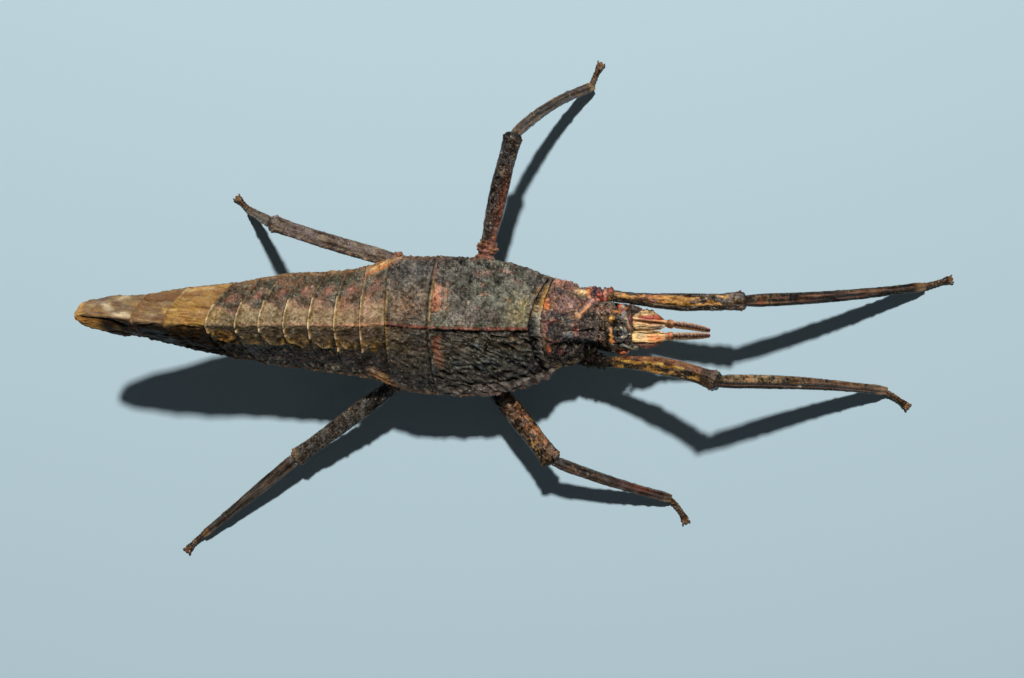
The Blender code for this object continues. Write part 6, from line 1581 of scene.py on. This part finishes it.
            # painted shade: the thigh's base is darkened to black where it lies in shadow under the body
            col = mix(col, PITCH * 0.8, 0.96 * step(0.30, 0.16, a))
            col = mix(col, PITCH, 0.8 * around_bell(th, 180, 22) + 0.9 * around_bell(th, 0, 26))
        else:
            col = mix(mix(UMBER * 0.75, SLATE * 0.7, 0.4 + 0.8 * patch), BARK, step(0.05, 0.45, speck) * 0.7)
            col = mix(col, SAND * 0.85, 0.60 * step(0.25, 0.7, speck))
            if name == "mid_left":
                inner = around_bell(th, 35, 42) * step(0.80, 0.40, a)
                col = mix(col, mix(BRICK * 0.75, RUST * 0.85, 0.2 + 1.5 * a), 0.80 * inner * step(-0.6, 0.1, streak))
                col = mix(col, YELLOW * 0.85, 0.75 * around_bell(th, 165, 14) * step(0.28, 0.0, a))
                col = mix(col, IVORY, 0.7 * np.exp(-((((a - 0.26) / 0.02) ** 2) + ((th - 2.75) / 0.25) ** 2)))
                col = mix(col, PITCH, 0.60 * around_bell(th, 112, 26) * step(0.98, 0.8, a) * step(-0.5, 0.2, streak))
            if name == "hind_left":
                col = mix(mix(DUSK * 0.85, BARK * 0.95, 0.5 + patch), col, 0.30)
                col = mix(col, SAND * 0.9, 0.35 * step(0.1, 0.5, streak))
                col = mix(col, PITCH, 0.75 * around_bell(th, 175, 26) + 0.4 * around_bell(th, 0, 20))
                dots = sum(np.exp(-((((a - at) * length / 0.30) ** 2) + (((th - 2.55) / 0.22) ** 2))) for at in (0.22, 0.36, 0.55, 0.70))
                col = mix(col, mix(GOLD, RUST, 0.4 + 0 * a), 0.9 * np.clip(dots, 0, 1))
            if name == "hind_right":
                col = mix(mix(UMBER * 0.8, OLIVE * 0.75, 0.45 + patch), col, 0.30)
                col = mix(col, mix(RUST, PEACH, 0.4 + patch), 0.85 * around_bell(th, 25, 22) * step(0.15, 0.4, speck) * step(0.25, 0.35, a) * step(0.75, 0.6, a))
                col = mix(col, PITCH, 0.55 * around_bell(th, 165, 50) + 0.6 * step(0.32, 0.12, a))
                col = mix(col, TAN * 0.9, 0.6 * step(0.93, 0.97, a) * around_bell(th, 40, 50))
        col = mix(col, TAN, 0.45 * np.clip(spines * 3.0, 0, 1))
        col = mix(col, HAZEL * 0.8, 0.35 * flare * lobes)
        col = mix(col, mix(UMBER, HAZEL, 0.4 + patch), 0.6 * step(-0.3, -0.8, np.sin(th)))
        g = p + outward(p) * relief[..., None]
        g, col, fine = cap(g, col, fine, 0.3, 0, 0.6)
        g, col, fine = cap(g, col, fine, 0.50, 1, 0.55, rows=7)
        Piece().add(g, col, fine).make("femur_" + name + "_thigh", mats["fore_femur" if pair == "fore" else "femur"], "fore_femur" if pair == "fore" else "femur", "femur_" + name)

        # shin
        length = math.dist(knee, ankle)
        t = np.linspace(-0.022, 1.012, int(length / 0.12))
        p, a, th, own, along, across, upward = limb_grid(knee, bows[1], ankle, TIBIAE[name], t, 96, 0.78)
        fine, who, _ = rough_skin(own * np.array((0.6, 1, 1)) + 40.0 * index, seed + 22, 0.30)
        corner = sum(around_bell(th, at, 13) for at in (42, 138, 222, 318))
        gully = sum(around_bell(th, at, 12) for at in (70, 110, 0, 180))
        rib = ridges(own * np.array((0.12, 1.0, 1.0)), 0.34, 2, seed + 21)
        relief = 0.09 * corner - 0.09 * gully + 0.06 * around_bell(th, 90, 8) + 0.05 * rib + 0.025 * fbm(p, 0.8, 3, seed + 22) + 0.030 * fine - 0.02
        fine = np.clip(0.30 * fine + 0.75 * rib, -1.2, 1.0)
        serrate = corner * np.clip(noise(own * np.array((1.1, 0.2, 0.2)) + 5, seed + 24), 0, 1)
        relief += 0.12 * serrate + 0.05 * bell(a - 0.965, 0.02) + 0.08 * bell(a - 0.075, 0.02) * np.abs(np.sin(th))
        relief *= step(-0.03, 0.02, a) * 0.7 + 0.3
        patch, speck, streak = fbm(p, 1.8, 3, seed + 25), fbm(p, 0.36, 3, seed + 26), fbm(own * np.array((0.14, 1, 1)), 0.42, 3, seed + 27)
        col = mix(mix(UMBER * 0.60, HAZEL * 0.45, 0.45 + 0.8 * patch), SLATE * 0.45, step(0.1, 0.6, fbm(p, 2.6, 2, seed + 28)) * 0.6)
        col = mix(col, mix(HAZEL, TAN, 0.4) * 0.9, 0.55 * step(0.16, 0.42, streak))
        col = mix(col, PITCH, 0.85 * step(0.05, -0.22, streak) + 0.35 * np.clip(gully, 0, 1))
        col = mix(col, mix(TAN, SAND, 0.5 + patch) * 0.8, 0.42 * corner * step(-0.1, 0.4, speck))
        if name == "fore_left":
            col = mix(col, TAN, 0.6 * np.exp(-(((a - 0.09) / 0.06) ** 2)) * step(-0.2, 0.3, speck))
            col = mix(col, RUST, 0.75 * np.exp(-((((a - 0.075) * length / 0.45) ** 2) + (((th - 1.2) / 0.5) ** 2))))
            lines = around_bell(th, 72, 4) + around_bell(th, 106, 5)
            col = mix(col, srgb(136, 92, 82), 0.75 * np.clip(lines, 0, 1) * step(0.10, 0.2, a) * step(-0.5, 0.1, streak))
            col = mix(col, PITCH, 0.95 * step(math.radians(66), math.radians(58), th) + 0.8 * step(math.radians(124), math.radians(134), th) + 0.6 * around_bell(th, 86, 6))
        if name == "fore_right":
            pale = around_bell(th, 118, 42) * np.clip(np.exp(-(((a - 0.19) / 0.14) ** 2)) * 0.9 + 0.30, 0, 1)
            col = mix(col, mix(TAN, SAND, 0.4 + patch) * 1.05, 0.92 * pale * step(-0.35, 0.1, speck))
            col = mix(col, BRICK * 0.75, 0.45 * around_bell(th, 110, 40) * step(0.3, 0.6, a) * step(-0.1, 0.4, speck))
            col = mix(col, PITCH, 0.97 * np.clip(1.3 * around_bell(th, 77, 9) + 1.2 * around_bell(th, 48, 14), 0, 1) * step(-0.05, 0.03, a))
            col = mix(col, mix(HAZEL, ROSE, 0.4) * 0.8, 0.7 * around_bell(th, 64, 4))
            col = mix(col, IVORY, 0.95 * np.exp(-(((a - 0.45) * length / 0.32) ** 2 + ((th - 1.17) / 0.15) ** 2)))
        if name == "mid_left":
            col = mix(col, mix(srgb(96, 86, 80), srgb(124, 104, 84), 0.4 + patch), 0.36 + 0 * a)
            col = mix(col, PITCH, 0.55 * around_bell(th, 84, 10) * step(-0.3, 0.2, streak))
            col = mix(col, SAND, 0.6 * step(0.35, 0.6, speck))
            col = mix(col, IVORY, 0.6 * around_bell(th, 10, 18) * np.exp(-(((a - 0.25) / 0.10) ** 2)))
        if name == "hind_left":
            col = mix(mix(HAZEL * 0.72, OLIVE * 0.95, 0.5 + patch), col, 0.30)
            col = mix(col, TAN * 0.9, 0.5 * step(0.15, 0.5, speck)) * np.array((1.50, 1.36, 1.10))
            fine = fine * 0.7 - 0.42
        if name == "mid_right":
            col = mix(mix(SLATE * 0.62, UMBER * 0.85, 0.5 + patch), col, 0.40)
            col = mix(col, TAN, 0.6 * step(0.2, 0.5, speck) * np.exp(-(((a - 0.22) / 0.14) ** 2)))
            col = mix(col, mix(BRICK, RUST, 0.4 + patch) * 0.8, 0.36 * np.exp(-(((a - 0.72) / 0.16) ** 2)) * around_bell(th, 120, 40))
        if name == "hind_right":
            col = mix(mix(UMBER * 0.75, OLIVE * 0.6, 0.5 + patch), col, 0.30)
        if name.endswith("right"):
            col = mix(col, PITCH, 0.5 * around_bell(th, 10, 40))
        col = mix(col, mix(TAN, BARK, 0.5 + patch), 0.45 * step(0.93, 0.97, a))
        col = mix(col, UMBER * 0.8, 0.6 * step(0.035, 0.0, a))
        g = p + outward(p) * relief[..., None]
        g[..., 2] = np.maximum(g[..., 2], 0.12)
        g, col, fine = cap(g, col, fine, 0.35, 0, 0.6)
        g, col, fine = cap(g, col, fine, 0.3, 1, 0.7)
        Piece().add(g, col, fine).make("tibia_" + name + "_shin", mats["tibia"], "tibia", "tibia_" + name)

        # foot: five joints, the last one long, then the pad and two claws
        length = math.dist(ankle, toe)
        joints = np.array((0.30, 0.44, 0.56, 0.67))
        t = np.linspace(-0.06, 0.97, 110)
        outline = ((-0.06, 0.80, 0.9), (0.0, 0.82, 0.95), (0.35, 0.80, 0.9), (0.7, 0.86, 0.85), (0.86, 1.12, 0.9), (0.95, 1.25, 0.85), (1.0, 1.15, 0.7))
        p, a, th, own, along, across, upward = limb_grid(ankle, TARSUS_BOW[name], toe, outline, t, 56, 0.9)
        pinch = np.exp(-(((t[:, None] - joints) * length / 0.10) ** 2)).sum(axis=1)[:, None] + 0 * th
        swell = np.exp(-(((t[:, None] - joints + 0.035) * length / 0.22) ** 2)).sum(axis=1)[:, None] + 0 * th
        fine, who, _ = rough_skin(p, seed + 32, 0.24)
        relief = -0.08 * pinch + 0.05 * swell + 0.04 * fbm(p, 0.5, 3, seed + 31) + 0.035 * fine
        patch, speck = fbm(p, 0.8, 3, seed + 33), fbm(p, 0.3, 2, seed + 34)
        col = mix(mix(HAZEL * 0.38, UMBER * 0.42, 0.5 + patch), TAN * 0.8, step(0.15, 0.5, speck) * 0.40)
        col = mix(col, mix(TAN, GOLD, 0.4 + patch) * 0.9, 0.16 * swell + 0.45 * step(0.90, 0.98, a))
        col = mix(col, PITCH, 0.6 * pinch)
        g = p + outward(p) * relief[..., None]
        g, col, fine = cap(g, col, fine, 0.3, 0, 0.6)
        g, col, fine = cap(g, col, fine, 0.25, 1, 0.9)
        g[..., 2] = np.maximum(g[..., 2], 0.0)
        foot = Piece().add(g, col, fine, (0.004, 0.14, 0.996, 0.996))
        # the pad between the claws
        out, side = along[-1, 0], across[-1, 0]
        flat_out = np.array((out[0], out[1], 0.0))
        flat_out /= np.linalg.norm(flat_out)
        tip = np.array(toe, float)
        path = curve([tip - flat_out * 0.3 + (0, 0, 0.02), tip + flat_out * 0.15, tip + flat_out * 0.42 + (0, 0, 0.02)], 20)
        w = np.interp(np.linspace(0, 1, 20), (0, 0.4, 0.8, 1), (0.75, 0.95, 0.85, 0.5))
        pad, _ = tube(path, w, w * 0.62, 26)
        r = 0.02 * fbm(pad, 0.25, 2, seed + 35)
        pc = mix(flat_tint(pad, HAZEL), UMBER, 0.5 * step(0.0, 0.4, fbm(pad, 0.3, 2, seed + 36)))
        pad = pad + outward(pad) * r[..., None]
        pad, pc, r = cap(pad, pc, r, 0.15, 0)
        pad, pc, r = cap(pad, pc, r, 0.18, 1, 1.0)
        pad[..., 2] = np.maximum(pad[..., 2], 0.0)
        foot.add(pad, pc, r, (0.004, 0.006, 0.496, 0.13))
        foot.make("tarsus_" + name + "_foot", mats["tarsus"], "tarsus", "tarsus_" + name)

        claws = Piece()
        for n, sign in enumerate((-1, 1)):
            start = tip + side * sign * 0.28 - flat_out * 0.12 + np.array((0, 0, 0.22))
            knots = [start, start + flat_out * 0.26 + side * sign * 0.20 + (0, 0, 0.14), start + flat_out * 0.52 + side * sign * 0.30 + (0, 0, 0.04), start + flat_out * 0.66 + side * sign * 0.22 + (0, 0, -0.22)]
            w = np.interp(np.linspace(0, 1, 34), (0, 0.5, 0.85, 1), (0.34, 0.28, 0.18, 0.06))
            g, _ = tube(curve(knots, 34), w, w, 20)
            r = 0.008 * fbm(g, 0.2, 2, seed + 37)
            u = np.linspace(0, 1, 34)[:, None] + 0 * g[..., 0]
            gc = mix(mix(HAZEL, UMBER, u), PITCH, step(0.75, 1.0, u) * 0.8)
            g = g + outward(g) * r[..., None]
            g, gc, r = cap(g, gc, r, 0.06, 0, 0.8)
            g, gc, r = cap(g, gc, r, 0.03, 1, 1.0)
            g[..., 2] = np.maximum(g[..., 2], 0.01)
            claws.add(g, gc, r, (0.004, 0.004 + 0.5 * n, 0.996, 0.49 + 0.5 * n))
        claws.make("claws_" + name, claw_mat, "tarsus")


make_head()
make_eyes()
make_feelers()
make_legs()


# ------------------------------------------------- floor, light and camera
def make_floor():
    mesh = bpy.data.meshes.new("floor")
    size = 1.2
    mesh.from_pydata([(-size, -size, 0), (size, -size, 0), (size, size, 0), (-size, size, 0)], [], [(0, 1, 2, 3)])
    floor = bpy.data.objects.new("floor", mesh)
    bpy.context.scene.collection.objects.link(floor)
    mat = bpy.data.materials.new("floor_paper")
    mat.use_nodes = True
    shader = mat.node_tree.nodes["Principled BSDF"]
    shader.inputs["Base Color"].default_value = (0.50, 0.66, 0.745, 1.0)
    shader.inputs["Roughness"].default_value = 0.9
    shader.inputs["Specular IOR Level"].default_value = 0.2
    mesh.materials.append(mat)


def area_light(name, energy, size, at, aim, colour=(1, 1, 1)):
    data = bpy.data.lights.new(name, "AREA")
    data.energy, data.size, data.color = energy, size, colour
    obj = bpy.data.objects.new(name, data)
    bpy.context.scene.collection.objects.link(obj)
    obj.location = at
    way = np.array(aim, float) - np.array(at, float)
    way /= np.linalg.norm(way)
    # a light shines along its own -Z
    obj.rotation_euler = (math.pi - math.acos(way[2]), 0.0, math.atan2(way[0], -way[1]) + math.pi) if abs(way[2]) < 0.9999 else (0.0, 0.0, 0.0)
    return obj


make_floor()
KEY_LEAN = math.radians(27)
area_light("key", 5.55, 0.036, (-0.02, 0.75 * math.sin(KEY_LEAN), 0.75 * math.cos(KEY_LEAN)), (0, 0, 0.01), (1.0, 0.975, 0.94))
area_light("fill", 0.06, 0.6, (0.25, -0.45, 0.6), (0, 0, 0.01), (1.0, 0.97, 0.93))
area_light("glint", 0.70, 0.040, (0.06, -0.34, 0.62), (0, 0, 0.01), (0.92, 0.96, 1.0)).visible_diffuse = False

scene = bpy.context.scene
world = bpy.data.worlds.new("studio")
world.use_nodes = True
world.node_tree.nodes["Background"].inputs["Color"].default_value = (0.80, 0.92, 1.0, 1.0)
world.node_tree.nodes["Background"].inputs["Strength"].default_value = 0.044
scene.world = world
scene.view_settings.view_transform = "Standard"
scene.view_settings.look = "None"

camera_data = bpy.data.cameras.new("camera")
camera_data.sensor_width = 36.0
camera_data.lens = 42.1875
camera_data.clip_start, camera_data.clip_end = 0.01, 10.0
camera = bpy.data.objects.new("camera", camera_data)
scene.collection.objects.link(camera)
camera.location = (SHIFT[0] * MM, SHIFT[1] * MM, 0.192)
camera.rotation_euler = (0.0, 0.0, 0.0)
scene.camera = camera
